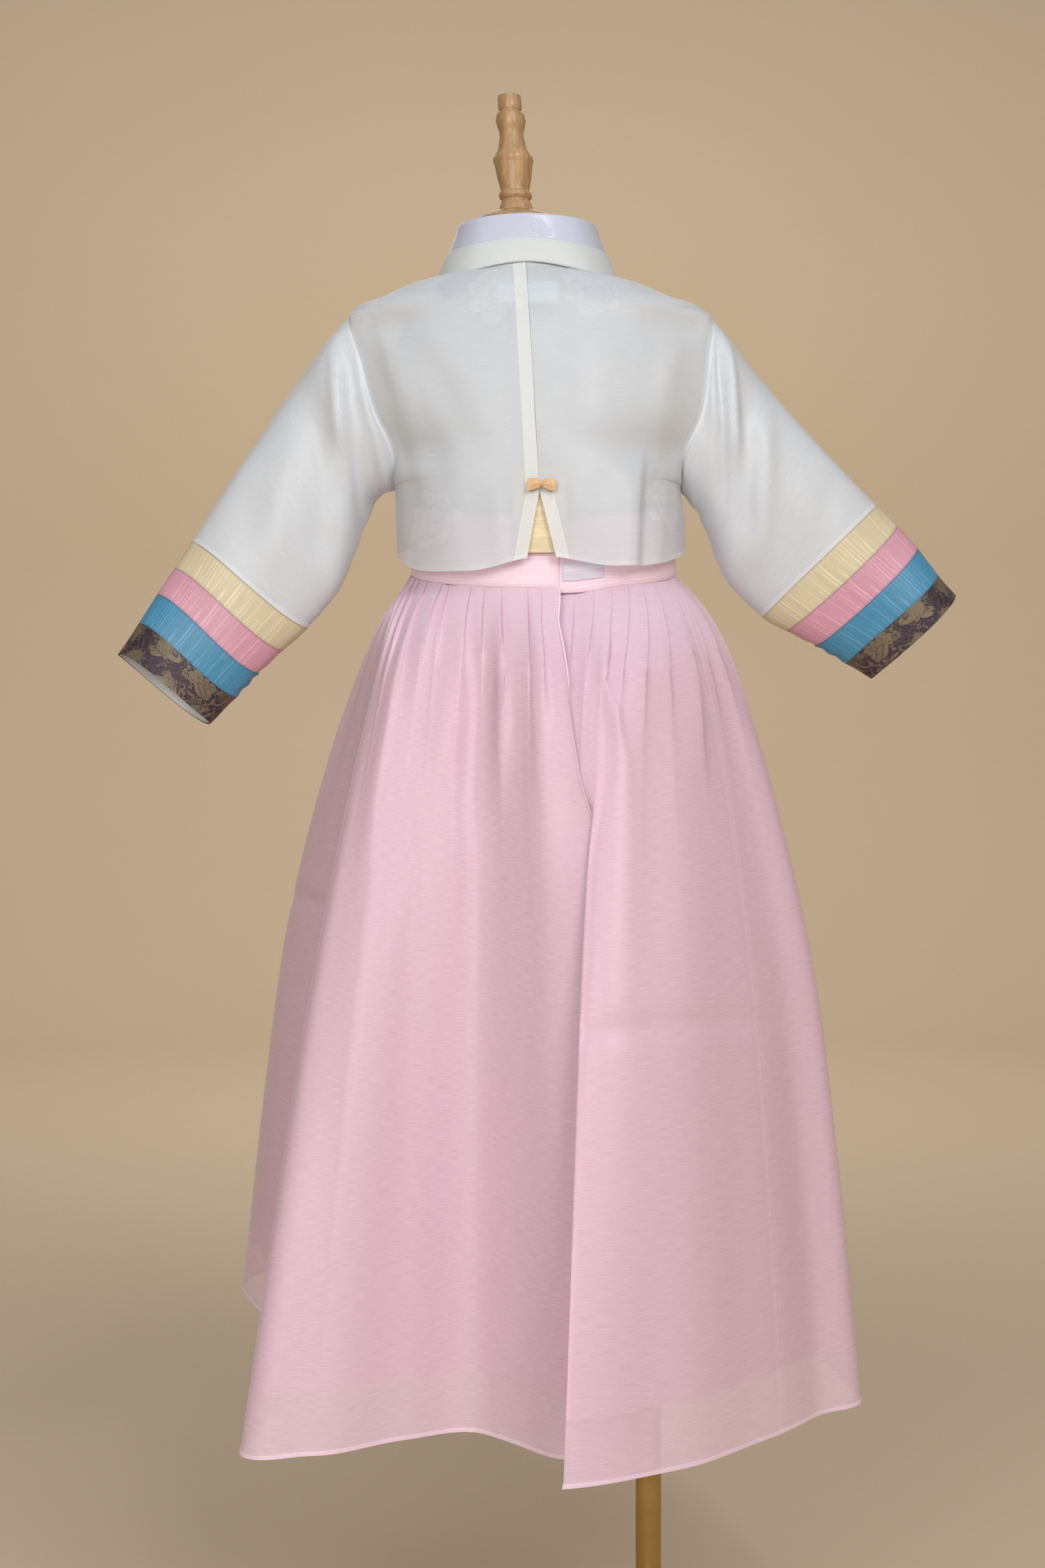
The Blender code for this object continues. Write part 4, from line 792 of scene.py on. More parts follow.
def band_cloth(name, colour):
    """Plain silk of one sleeve strip: fine lines and brighter slubs that run along the sleeve, and darker
    seams."""
    recipe = Recipe(name)
    dark, plain, shadow = shades(colour, 0.88, 1.0, 0.6)
    light = tuple(min(1.0, value * 1.25 + 0.10) for value in colour)
    place = recipe.cloth()
    fine = weave(recipe, place, 1300.0, 16.0)
    slub = weave(recipe, place, 800.0, 11.0)
    tint = recipe.blend(recipe.step(fine, 0.35, 0.65), dark, plain)
    tint = recipe.blend(recipe.step(slub, 0.62, 0.72) * 0.8, tint, light)
    seam = recipe.step(recipe.mark("edge"), 0.0022, 0.0006)
    tint = recipe.blend(seam * 0.35, tint, shadow)
    height = fine * 0.6 + slub * 0.4 - seam * 0.6
    rough = 0.46 - slub * 0.12
    return recipe.finish(Base_Color=tint, Roughness=rough, Normal=recipe.bump(height, 0.0004, 0.5))


def cuff_brocade():
    """Dark brocade with dull gold flowers, twigs and leaves, woven with ribs across the sleeve."""
    recipe = Recipe("cuff_brocade")
    shadow, ground = shades(choices().brocade_ground, 0.7, 1.0)
    place = recipe.cloth()
    large = flowers(recipe, place, (0.034, 0.0290), 0.0105, (0.2, 0.1), 0.55)
    small = flowers(recipe, place, (0.027, 0.0210), 0.0060, (0.68, 0.16), 0.55)
    twig = recipe.step(abs(weave(recipe, place, 160.0, 140.0, 1.0) - 0.5), 0.030, 0.010)
    leaves = recipe.step(weave(recipe, place, 330.0, 300.0, 1.0), 0.52, 0.58)
    patch = recipe.step(weave(recipe, place, 48.0, 40.0, 1.0), 0.40, 0.56)
    figure = large.math("MAXIMUM", small * (0.4 + patch * 0.6)).math("MAXIMUM", twig * 0.7)
    figure = figure.math("MAXIMUM", leaves * patch * 0.85)
    ribs = (recipe.parts(place)[1] * (2 * PI / RIB_PITCH)).math("SINE") * 0.5 + 0.5
    fleck = weave(recipe, place, 900.0, 500.0)
    figure = figure * (0.62 + ribs * 0.2 + recipe.step(fleck, 0.35, 0.65) * 0.18)
    base = recipe.blend(recipe.step(fleck, 0.4, 0.7), shadow, ground)
    colour = recipe.blend(figure, base, tuple(choices().brocade_gold))
    bump = recipe.bump(figure * 0.8 + ribs * 0.2, 0.0004, 0.6)
    rough = 0.50 - figure * 0.12
    return recipe.finish(Base_Color=colour, Metallic=figure * 0.35, Roughness=rough, Normal=bump)


def plain_silk(name, colour, rough=0.45, lines=700.0, streak=0.12):
    """Plain silk: fine slubs across it, `lines` in a metre, and a darker, turned edge; a streak is the
    share by which the slubs are darker."""
    recipe = Recipe(name)
    dark, light, shadow = shades(colour, 1 - streak, 1 + streak * 0.4, 0.8)
    place = recipe.cloth()
    slub = weave(recipe, place, 26.0, lines)
    cloud = recipe.noise(place, 20.0, 2.0)
    tint = recipe.blend(recipe.step(slub * 0.7 + cloud * 0.3, *UNEVEN), dark, light)
    edge = recipe.step(recipe.mark("edge"), 0.0018, 0.0010)
    tint = recipe.blend(edge * 0.3, tint, shadow)
    bump = recipe.bump(slub * 0.6 - edge * 0.4, 0.0003, min(0.5, streak * 4))
    return recipe.finish(Base_Color=tint, Roughness=rough, Normal=bump)


def collar_satin():
    """White-lavender satin: long soft slubs, and tone-on-tone flowers that show mostly in its gloss."""
    recipe = Recipe("collar_satin")
    dull, dark, pale = shades(choices().satin, 0.80, 0.97, 1.0)
    place = recipe.cloth()
    bloom = flowers(recipe, place, (0.300, 0.090), 0.0095, (0.44, 0.36))
    slub = weave(recipe, place, 26.0, 2400.0)
    tint = recipe.blend(recipe.step(slub, 0.35, 0.65), dark, pale)
    tint = recipe.blend(bloom * 0.30, tint, dull)
    rough = 0.25 + bloom * 0.18
    bump = recipe.bump(slub * 0.5 + bloom, 0.0003, 0.35)
    return recipe.finish(Base_Color=tint, Roughness=rough, Normal=bump, Specular_IOR_Level=0.65)


def form_jersey():
    """Off-white jersey of the form: fine ribs round it and soft blotches."""
    recipe = Recipe("form_jersey")
    here = recipe.here()
    knit = recipe.noise(recipe.here((300.0, 300.0, 900.0)), 1.0, 2.0)
    blotch = recipe.noise(here, 12.0, 3.0)
    tint = recipe.blend(blotch, (0.68, 0.68, 0.69), (0.76, 0.76, 0.77))
    return recipe.finish(Base_Color=tint, Roughness=0.85, Normal=recipe.bump(knit, 0.0004, 0.5))


def turned_wood():
    """Light turned wood: grain drawn out along the spindle, fine turning marks round it, thin varnish."""
    recipe = Recipe("turned_wood")
    dark, light = shades(choices().wood, 0.62, 1.0)
    grain = recipe.noise(recipe.here((160.0, 160.0, 14.0)), 1.0, 5.0, 0.65)
    fibre = recipe.noise(recipe.here((900.0, 900.0, 40.0)), 1.0, 3.0)
    marks = recipe.noise(recipe.here((4.0, 4.0, 1800.0)), 1.0, 2.0)
    tint = recipe.blend(recipe.step(grain * 0.7 + fibre * 0.3, 0.36, 0.66), dark, light)
    bump = recipe.bump(fibre * 0.4 + marks * 0.6, 0.0003, 0.35)
    rough = 0.42 + fibre * 0.15
    return recipe.finish(Base_Color=tint, Roughness=rough, Coat_Weight=0.35, Coat_Roughness=0.25, Normal=bump)


def brushed_brass():
    """Brushed brass: fine lines along it, duller patches and a few darker specks."""
    recipe = Recipe("brushed_brass")
    bright, dark = shades(choices().brass, 1.0, 0.72)
    lines = recipe.noise(recipe.here((900.0, 900.0, 6.0)), 1.0, 3.0)
    dull = recipe.noise(recipe.here(), 18.0, 4.0)
    tint = recipe.blend(recipe.step(dull, 0.3, 0.75), bright, dark)
    rough = 0.20 + lines * 0.10 + recipe.step(dull, 0.4, 0.8) * 0.14
    bump = recipe.bump(lines, 0.0002, 0.2)
    return recipe.finish(Base_Color=tint, Metallic=1.0, Roughness=rough, Normal=bump)


# ---- what every piece is told --------------------------------------------------------------------
def settle(piece, material, slot, *nodes):
    """Give a piece its material, tie it to the part and let it stand for its nodes; the slot is not used."""
    piece.data.materials.append(material)
    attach(piece, "root")
    if nodes:
        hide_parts(*nodes)
    return piece


# ---- the chima -----------------------------------------------------------------------------------
SKIRT_CENTRE_X = 0.090
WAIST_HALF_WIDTH = 0.1125
WAIST_HALF_DEPTH = 0.0875
WAIST_SEAM_SIDE_Z = 0.929
WAIST_SEAM_TILT = 0.019    # how much lower the waist seam is behind than at its sides
WAIST_GAP = 0.0002
WAIST_UNDERLAP = 0.0022    # how far the right end of the band tucks in under the left one
BAND_HEIGHT = 0.060
PLEATS = 48
PLEAT_LAP = 0.15           # how far a pleat laps over the next, in pleats
PLEAT_UNDER = 0.5          # share of a pleat's cloth that lies folded under
PLEATS_SHORTER = 0.78      # the pleats open at this share of the drops in PLEAT_FADES
EVEN_FROM = 316.0          # from this angle on the pleats stand at even distances
FLAT_PITCH = 0.0411        # cloth from one pleat to the next
FLAT_DROP = 0.690
SEAM_GAP = 0.0045          # how far a width ends from its seam, in pleats
LINING_REACH = (0.62, 47.9)   # where the lining's two ends lie along the pleats
ROLLED_HEM = 0.0013        # how much thicker the cloth is at a rolled hem
WRAP_FOLD = 330.0          # where the fold beside the opening stands, in degrees round the skirt
EDGE_ASIDE = 0.0080        # how far the left free edge hangs aside of its line below the waistband


def waist_seam_z(angle):
    """Height of the waist seam: a tilted ring, a little lower at its right end."""
    tilt = WAIST_SEAM_TILT * np.cos(np.radians(angle))
    return WAIST_SEAM_SIDE_Z - tilt - 0.004 * smooth((angle - 320.0) / 30.0)


def waist_ring(angle, outwards, underlap):
    """X and Y of an ellipse round the waist, moved outwards; its right end tucks in by the underlap."""
    turn = np.radians(angle)
    grow = outwards - underlap * smooth((angle - 336.0) / 14.0)
    x = SKIRT_CENTRE_X + (WAIST_HALF_WIDTH + grow) * np.sin(turn)
    y = (WAIST_HALF_DEPTH + grow) * np.cos(turn)
    return x, y


def skirt_folds(cloth, drop):
    """Height of the soft folds over the cloth: each ridge or trough drifts sideways as it falls, swells
    below its top and dies away to its foot; dents run across; the hem waves a little."""
    total = 0.0016 * smooth(drop) * (np.sin(1.9 * cloth + 0.7) + 0.6 * np.sin(3.1 * cloth + 2.0))
    for at, drift, top, foot, rise, width, steep in zip(*SKIRT_FOLDS.values()):
        fallen = (drop - top) / (foot - top)
        swell = smooth(fallen * 3.0) * smooth((1 - fallen) * 2.0)
        line = at + drift * smooth(fallen)
        total = total + rise * swell * fold_profile(line - cloth, width, steep)
    for at, level, width, height, depth in zip(*SKIRT_DENTS.values()):
        bow = level + 0.012 * ((cloth - at) / width) ** 2
        total = total - depth * np.exp(-(((cloth - at) / width) ** 2) - ((drop - bow) / height) ** 2)
    return total * (1 - smooth((cloth - 41.0) * 2.0) * smooth((drop - 0.20) * 10.0))


def hem_lines(angle, drop):
    """What each point of the waist heads for: the tucked lines down to where the fold beside the opening
    comes out, then the skirt's own lines."""
    out = smooth((drop - 0.22) / 0.12)
    found = {}
    for key in ("x", "y", "z", "bell"):
        whole = SKIRT_LINES[key]
        tucked = whole.copy()
        tucked[-4:-1] = TUCKED_LINES[key]
        low = curve(SKIRT_LINES["angle"], tucked, angle)
        found[key] = low + (curve(SKIRT_LINES["angle"], whole, angle) - low) * out
    return found


def lining_lift(cloth, drop):
    """The lining's folds: under the pleats it lies below every dip beside it, further down it follows."""
    whole = skirt_folds(cloth, drop)
    beside = np.minimum(skirt_folds(cloth - PLEAT_UNDER, drop), skirt_folds(cloth + PLEAT_UNDER, drop))
    low = np.minimum(np.minimum(whole, beside), 0.0)
    return low + (whole - low) * smooth((drop - 0.26) / 0.16)


def skirt_middle(cloth, drops, pleated, inset):
    """Middle points of the skirt, top row first.

    At the waist the cloth runs round the waist ring in knife pleats: each ply rises, then folds back over
    the next, at uneven distances. Going down, the pleats open at their own pace, and every point moves
    from the waist to the hem line in plan, along a bell curve in the drop. The left free edge is drawn
    aside above the place where the fold beside the opening comes out. Soft folds then move each point
    along its normal, and the inset, a depth for each row, moves it inwards, less near that tight fold.
    """
    start, end = SKIRT_LINES["angle"][0], SKIRT_LINES["angle"][-1]
    pitch = (end - start) / PLEATS
    cloth, drop = cloth[None, :], drops[:, None]

    # angles at the waist, when folded and when open
    opened = cloth - PLEAT_UNDER + 0.0 * drop
    whole = np.floor(cloth)
    share = cloth - whole
    folding = share < PLEAT_UNDER
    rising = np.where(folding, share / PLEAT_UNDER, (1 - share) / (1 - PLEAT_UNDER))
    run = np.where(folding, 0.0, (share - PLEAT_UNDER) / (1 - PLEAT_UNDER))
    folded = whole + np.where(folding, -PLEAT_LAP * rising, -PLEAT_LAP + (1 + PLEAT_LAP) * run)
    fades = np.interp(cloth, np.arange(0.0, PLEATS + 1, 3.0), PLEAT_FADES) * PLEATS_SHORTER
    open_share = smooth(drop / fades) if pleated else np.ones(opened.shape)
    angle = np.clip(start + pitch * (folded + (opened - folded) * open_share), start, end)

    # places on the waist ring: how far each ply stands out, and how uneven the pleats are
    depth = 0.0010 + 0.0020 * smooth(drop / 0.03) + 0.0026 * smooth(drop / 0.08)
    uneven = pitch * (0.15 * np.sin(0.31 * angle + 1.0) + 0.11 * np.sin(0.47 * angle + 0.3))
    uneven = uneven * smooth((angle - start) / 14) * smooth((EVEN_FROM - angle) / 14)
    waist_x, waist_y = waist_ring(angle + uneven, depth * (1 - open_share) * rising, 0.0060)

    # from the waist to the hem, with the left free edge drawn aside
    hem = hem_lines(angle, drop)
    bell_spread = curve(SPREAD["drop"], SPREAD["spread"], drop)
    spread = drop + (bell_spread - drop) * hem["bell"]
    top_z = waist_seam_z(angle) - WAIST_GAP
    x = waist_x + (SKIRT_CENTRE_X + hem["x"] - waist_x) * spread
    y = waist_y + (hem["y"] - waist_y) * spread
    aside = smooth(drop / 0.05) * (1 - smooth((drop - 0.12) / 0.19))
    aside = aside - 0.75 * np.exp(-(((drop - 0.29) / 0.035) ** 2))
    aside = aside * (1 - smooth((cloth - PLEAT_UNDER) / 2.0))
    points = np.stack([x + EDGE_ASIDE * aside, y, top_z + (hem["z"] - top_z) * drop], axis=-1)

    # soft folds, and what each pleat's crease leaves below it
    lift = (skirt_folds if pleated else lining_lift)(cloth, drop) * choices().fold_strength
    if pleated:
        memory = np.exp(-(((share - PLEAT_UNDER) / 0.13) ** 2)) * (1 - smooth((drop - fades * 0.4) / 0.32))
        lift = lift + 0.0007 * memory * smooth(drop / 0.1)
    points = points + unit(outward(points)) * lift[..., None]
    room = 0.055 * FLAT_PITCH * np.abs(angle - WRAP_FOLD) / pitch
    return points - outward(points) * np.minimum(inset[:, None], room)[..., None]


# places within a pleat where the cloth has a column of points, close together at its fold
IN_PLEAT = np.array([0.0, 0.2, 0.36, 0.46, 0.5, 0.54, 0.64, 0.76, 0.88])
PLEATED_CLOTH = (np.arange(PLEATS)[:, None] + IN_PLEAT).ravel()
CLOSE_TO_HEM = 1 - np.array([0.0185, 0.0130, 0.0085, 0.0062, 0.0052, 0.0035, 0.0018, 0.0])
DROPS = np.concatenate([
    np.linspace(0.0, 0.30, 44), np.linspace(0.30, 0.40, 8)[1:], np.linspace(0.40, 0.55, 24)[1:],
    np.linspace(0.55, 0.97, 29)[1:], CLOSE_TO_HEM,
])


def width_columns(first, last):
    """Places along the cloth of one width's columns: a little short of a seam, and close together at a
    free edge."""
    free = [first + np.array([0.03, 0.07, 0.085, 0.11])] if first == PLEAT_UNDER else []
    free += [last - np.array([0.11, 0.085, 0.07, 0.03])] if last == PLEATS else []
    inside = PLEATED_CLOTH[(PLEATED_CLOTH > first + 0.12) & (PLEATED_CLOTH < last - 0.12)]
    cloth = np.sort(np.concatenate([[first + SEAM_GAP, last - SEAM_GAP], inside, *free]))
    cloth[0] = first if first == PLEAT_UNDER else cloth[0]
    cloth[-1] = last if last == PLEATS else cloth[-1]
    return cloth


def flat_place(cloth, drops):
    """UV of the skirt's cloth in metres, as it lies before it is pleated."""
    return np.stack(np.meshgrid(cloth * FLAT_PITCH, -drops * FLAT_DROP), axis=-1)


def build_widths():
    """Four widths of organza with rolled hems and free edges, and seams between them."""
    organza = skirt_organza()
    for name, first, last, cut in SKIRT_WIDTHS:
        cloth = width_columns(first, last)
        middle = skirt_middle(cloth, DROPS, True, np.zeros(len(DROPS)))
        hem = to_border(middle, "last")
        rim = hem.copy()
        seam = np.full(hem.shape, 1.0)
        from_edge = (cloth - first, last - cloth)
        for away, is_free in zip(from_edge, (first == PLEAT_UNDER, last == PLEATS)):
            flat = np.broadcast_to(away * FLAT_PITCH, hem.shape)
            if is_free:
                hem, rim = np.minimum(hem, flat * 2.2), np.minimum(rim, flat + 0.0032)
            else:
                seam = np.minimum(seam, flat)
        thickness = choices().organza + ROLLED_HEM * smooth((0.0046 - rim) / 0.0030)
        marks = {"edge": hem, "seam": seam}
        piece = cloth_wall(name + "_cloth", middle, thickness, flat_place(cloth, DROPS), marks)
        settle(piece, organza, "organza_pink", name)


def build_lining():
    """The lining, a little inside the organza all the way down and shorter than it."""
    rise = choices().lining_rise
    first, last = LINING_REACH
    cloth = PLEATED_CLOTH[(PLEATED_CLOTH > first + 0.08) & (PLEATED_CLOTH < last - 0.1)]
    cloth = np.concatenate([[first], cloth, [last]])
    foot = 1 - rise / FLAT_DROP
    drops = np.concatenate([DROPS[DROPS < foot - 0.004], [foot]])
    inset = 0.0010 + 0.0016 * smooth(drops / 0.06) + 0.0010 * smooth((drops - 0.3) / 0.3)
    middle = skirt_middle(cloth, drops, False, inset)
    seams = np.abs(cloth[:, None] - np.array(SEAMS_IN_LINING)).min(axis=1) * FLAT_PITCH
    marks = {**edges(middle, "last"), "seam": np.broadcast_to(seams, middle.shape[:2])}
    lining = cloth_wall("chima_lining", middle, 0.0003, flat_place(cloth, drops), marks)
    settle(lining, skirt_lining(), "organza_pink")


def band_middle(angles, heights, outwards):
    """Middle points of a strip that follows the waist ring, at heights above the waist seam."""
    x, y = waist_ring(angles, outwards, WAIST_UNDERLAP)
    return points_at(x, y, waist_seam_z(angles) + heights[:, None])


def build_waistband():
    """The waistband, once round and over itself behind, and the fastening strip on its lower end."""
    heights = np.concatenate([[0.0, 0.0006, 0.0014, 0.0022], np.linspace(0.004, 0.056, 14),
                              [0.0578, 0.0586, 0.0594, BAND_HEIGHT]])
    middle = band_middle(np.linspace(-6.0, 390.0, 220), heights, 0.0)
    marks = edges(middle, "start end first last")
    thickness = 0.0009 + 0.0009 * np.sqrt(smooth(marks["edge"] / 0.0024))
    band = cloth_wall("waistband_cloth", middle, thickness, None, marks)
    settle(band, waist_cloth(), "organza_pink", "waistband")

    middle = band_middle(np.linspace(335.0, 352.5, 24), np.linspace(0.010, 0.025, 7), 0.0015)
    strip = cloth_wall("fastening_tape", middle, 0.0012, None, edges(middle, "start end first last"))
    settle(strip, plain_silk("fastening_silk", (0.80, 0.75, 0.88), 0.35), "satin", "fastening_strip")


# ---- the jeogori ---------------------------------------------------------------------------------
ARMHOLE_STEPS = 32


def jacket_levels():
    """Fine rows of the jacket's body: below the armhole, along it in even turns, over the shoulder."""
    below = np.linspace(0.0, 2.0, 24)[:-1]
    turn = np.linspace(0.0, PI, ARMHOLE_STEPS + 1)
    armhole_z = ARMHOLE_Z[0] + (ARMHOLE_Z[1] - ARMHOLE_Z[0]) * (1 - np.cos(turn)) / 2
    order = np.arange(10.0)
    armhole = np.interp(armhole_z, JACKET_LEVELS["side_z"][2:7], order[2:7])
    above = np.linspace(6.0, 9.0, 20)[1:]
    levels = np.concatenate([below, armhole, above])
    rows = {key: curve(order, JACKET_LEVELS[key], levels) for key in JACKET_LEVELS}
    inside = np.concatenate([np.zeros(len(below)), np.sin(turn), np.zeros(len(above))])
    rows["edge_depth"] = np.maximum(ARMHOLE_HALF_DEPTH * inside, 0.0002)
    rows["level"] = levels
    rows["armhole"] = slice(len(below), len(below) + ARMHOLE_STEPS + 1)
    return rows


def beside_sleeve(z):
    """1 along the armhole, 0 near its ends and beyond."""
    return smooth((z - ARMHOLE_Z[0]) / ARMHOLE_FADE[0]) * smooth((ARMHOLE_Z[1] - z) / ARMHOLE_FADE[1])


def section_depth(share, depth, edge, beside):
    """Depth of a level section: (1 - share^2.4)^0.5 of the middle's, falling to the armhole's edge close
    to the side; beside the sleeve the power is 1 and the edge comes in over the whole width."""
    fall = (1 - share ** SECTION_POWER) ** (0.5 + 0.5 * beside)
    return depth * fall + edge * (share ** 12 + (1 - fall - share ** 12) * beside)


def body_surface(rows, x, side, inset=0.0):
    """Points of the body at X offsets from its axis: height follows share^3, more evenly at the neckline,
    and each back's hem sags; side is 1 behind."""
    reach = np.where(x > 0, rows["left"][:, None], rows["right"][:, None])
    share = np.clip(np.abs(x) / reach, 0.0, 1.0)
    depth = rows["back"] if side > 0 else rows["front"]
    middle_z = rows["back_z"] if side > 0 else rows["front_z"]
    edge = rows["edge_depth"][:, None]
    y = section_depth(share, depth[:, None], edge, beside_sleeve(rows["side_z"][:, None])) - inset
    hem_share = np.clip(1.0 - rows["level"], 0.0, 1.0)[:, None] if side > 0 else 0.0
    sag, corner = np.where(x > 0, HEM_SAG["left"], HEM_SAG["right"]), np.where(x > 0, 12.0, 5.0)
    even = 3.0 - 1.8 * np.clip(rows["level"] - 8.0, 0.0, 1.0)[:, None]
    rise = share ** even + (share ** corner - share ** 3) * hem_share
    z = middle_z[:, None] + (rows["side_z"] - middle_z)[:, None] * rise
    z = z - sag * hem_share * smooth(share / 0.5) * (1 - 0.5 * share ** 6)
    return np.stack([clothes_x(z) + x, side * y, z], axis=-1)


def spread_columns(inner, outer, count):
    """X offsets from an inner to an outer line for each row, closer together towards the outer one."""
    share = np.sin(np.linspace(0.0, PI / 2, count))
    return inner[:, None] + (outer - inner)[:, None] * share


def soft_ground(x, z, hand):
    """Low, broad unevenness of hanging cloth: a sum of slow waves across and down."""
    across = np.sin(71 * x + 23 * z + hand) + 0.7 * np.sin(113 * x - 47 * z + 2.1 * hand)
    return 0.0007 * across * np.cos(39 * z)


def back_middle(rows, hand):
    """Middle points of one back, from the centre seam or the slit's edge to the side."""
    side = "left" if hand > 0 else "right"
    reach = rows[side]
    opened = np.clip((SLIT_TOP_Z - rows["back_z"]) / (SLIT_TOP_Z - rows["back_z"][0]), 0.0, 1.0)
    x = spread_columns(BACK_SEAM_GAP + SLIT_SWING[side] * opened, reach, 72)
    height = rows["side_z"][:, None]
    kept_flat = smooth((reach[:, None] - x) / FLAT_AT_SIDE) * choices().fold_strength
    world_x = clothes_x(height) + hand * x
    lift = hanging_folds(BACK_FOLDS, hand, world_x, height) + soft_ground(world_x, height, hand)
    return body_surface(rows, hand * x, 1, -lift * kept_flat), x - x[:, :1]


def inner_inset(x, z):
    """How far the inner front and its collar lie under the outer ones, at X measured to their side."""
    begins = 0.052 - 0.020 * smooth((z - 1.10) / 0.04)
    return FRONT_INSET * (1 - smooth((x - begins) / 0.030))


def front_middle(rows, hand):
    """Middle points of one front, from its neckline edge to the side."""
    reach = rows["left"] if hand > 0 else rows["right"]
    rise = np.clip((rows["side_z"] - NECKLINE_END_Z) / (rows["side_z"][-1] - NECKLINE_END_Z), 0.0, 1.0)
    edge = -FRONT_OVERLAP + (reach[-1] - 0.006 + FRONT_OVERLAP) * rise
    x = spread_columns(edge, reach, 64)
    height = rows["side_z"][:, None]
    kept_flat = smooth((reach[:, None] - x) / FLAT_AT_SIDE) * smooth((x - edge[:, None]) / 0.02)
    kept_flat = kept_flat * choices().fold_strength
    world_x = clothes_x(height) + hand * x
    lift = hanging_folds(FRONT_FOLDS, hand, world_x, height) + soft_ground(world_x, height, hand)
    tucked = inner_inset(x, height) if hand < 0 else 0.0
    return body_surface(rows, hand * x, -1, tucked - lift * kept_flat)


def build_backs():
    """Both backs: sheer panels whose allowances are folded along the centre seam and the slit."""
    rows = jacket_levels()
    cloth = jacket_organza("jacket_organza_back", 0.46, (0.760, 0.2368))
    for hand, name in ((1, "back_left"), (-1, "back_right")):
        middle, inner = back_middle(rows, hand)
        beside_slit = rows["back_z"][:, None] < SLIT_TOP_Z + 0.002
        marks = {**edges(middle, "first"), "seam": to_border(middle, "end last"),
                 "facing": inner if hand > 0 else np.where(beside_slit, inner, 1.0)}
        place = lengths(middle)
        if hand < 0:
            place = place * np.array([-1.0, 1.0]) + np.array([0.078, -0.006])
        thickness = panel_thickness(inner, FOLDED_CLOTH, choices().jacket_cloth)
        piece = cloth_wall(name + "_cloth", middle, thickness, place, marks)
        settle(piece, cloth, "organza_white", name)


def build_fronts():
    """Both fronts: the outer one laps over the inner one."""
    rows = jacket_levels()
    cloth = jacket_organza("jacket_organza_front", 0.46, (0.10, 0.60))
    for hand, name in ((1, "front_outer"), (-1, "front_inner")):
        middle = front_middle(rows, hand)
        marks = {**edges(middle, "first start"), "seam": to_border(middle, "end last"),
                 "facing": np.full(middle.shape[:2], 1.0)}
        piece = cloth_wall(name + "_cloth", middle, choices().jacket_cloth, None, marks)
        settle(piece, cloth, "organza_white", name)


def panel_thickness(inner, edge_cloth, cloth):
    """Thickness of a panel: double cloth along its folded inner edge, single beyond the allowance."""
    return cloth + (edge_cloth - cloth) * smooth((0.0035 - inner) / 0.002)


def armhole_loop(rows):
    """The armhole's edge for both hands, without folds, as closed rings: up the back, down the front."""
    loops = {}
    for hand, reach in ((1, rows["left"]), (-1, rows["right"])):
        edge = hand * reach[:, None]
        up = body_surface(rows, edge, 1)[rows["armhole"], 0]
        down = body_surface(rows, edge, -1)[rows["armhole"], 0][-2:0:-1]
        loop = np.concatenate([up, down])
        loop[0, 1] = 0.0
        loop[ARMHOLE_STEPS, 1] = 0.0
        loops[hand] = loop
    return loops


def sleeve_rings(side, armhole, stations, inside=0.0):
    """Rings of a sleeve: the armhole's ring easing into ellipses that stand on the section's line.

    The side behind is drawn up the sleeve by drawn sin(turn), and swayed by sway sin(2 turn). Folds
    then move each point along the ring's normal, and the lower seam puckers. `inside` shrinks the rings
    for a lining.
    """
    sections = SLEEVE_SECTIONS[side]
    hand = 1 if side == "left" else -1
    order = np.arange(len(sections["half"]), dtype=float)
    turn = around_once(2 * ARMHOLE_STEPS)
    part = {key: curve(order, sections[key], stations) for key in sections}
    top = np.stack([part["top_x"], part["y"], part["top_z"]], axis=1)
    bottom = np.stack([part["bottom_x"], part["y"], part["bottom_z"]], axis=1)
    middle = (top + bottom) / 2
    half_height = (top - bottom) / 2
    down = unit(np.gradient(middle, axis=0))
    sway = part["sway"][:, None] * np.sin(2 * turn) * np.where(turn > PI, -1.0, 1.0)
    along = sway - part["drawn"][:, None] * np.sin(turn)
    rings = (
        middle[:, None]
        - half_height[:, None] * np.cos(turn)[None, :, None]
        + part["half"][:, None, None] * np.sin(turn)[None, :, None] * BEHIND
        + along[..., None] * down[:, None]
    )
    first = sleeve_start(sections, turn)
    shift = armhole - first - hand * 0.0005 * ASIDE
    rings = rings + shift * (1 - smooth(stations / 2.0))[:, None, None]
    normal = unit(outward(rings, True))
    away = np.sum(normal * (rings - rings.mean(axis=1, keepdims=True)), axis=-1).mean()
    normal = normal * (1.0 if away > 0 else -1.0)
    fades = np.sqrt(np.abs(np.sin(turn)))[None, :] * smooth(stations / 0.35)[:, None]
    fades = fades * smooth((5.2 - stations) / 1.6)[:, None] * choices().fold_strength
    behind = hanging_folds(SLEEVE_FOLDS[side], 1, rings[..., 0], rings[..., 2])
    before = hanging_folds(SLEEVE_FOLDS[side], -1, rings[..., 0], rings[..., 2])
    lift = np.where(np.sin(turn) > 0, behind, before) * fades
    steps = np.linalg.norm(np.diff(bottom, axis=0), axis=1)
    run = np.concatenate([[0.0], np.cumsum(steps)]) + 0.05 * stations[0]
    from_seam = np.minimum(turn, 2 * PI - turn)[None, :]
    uneven = np.sin(run * 330.0 + 2.6 * np.sin(run * 53.0)) * (0.55 + 0.45 * np.sin(run * 37.0 + 1.0))
    pucker = 0.0007 * uneven[:, None] * np.exp(-((from_seam / 0.35) ** 2))
    wave = 0.0008 * np.sin(3 * turn[None, :] + stations[:, None] * 1.7) * smooth(stations / 0.6)[:, None]
    lift = lift + pucker * smooth(stations / 0.3)[:, None] + wave - inside
    return rings + normal * lift[..., None]


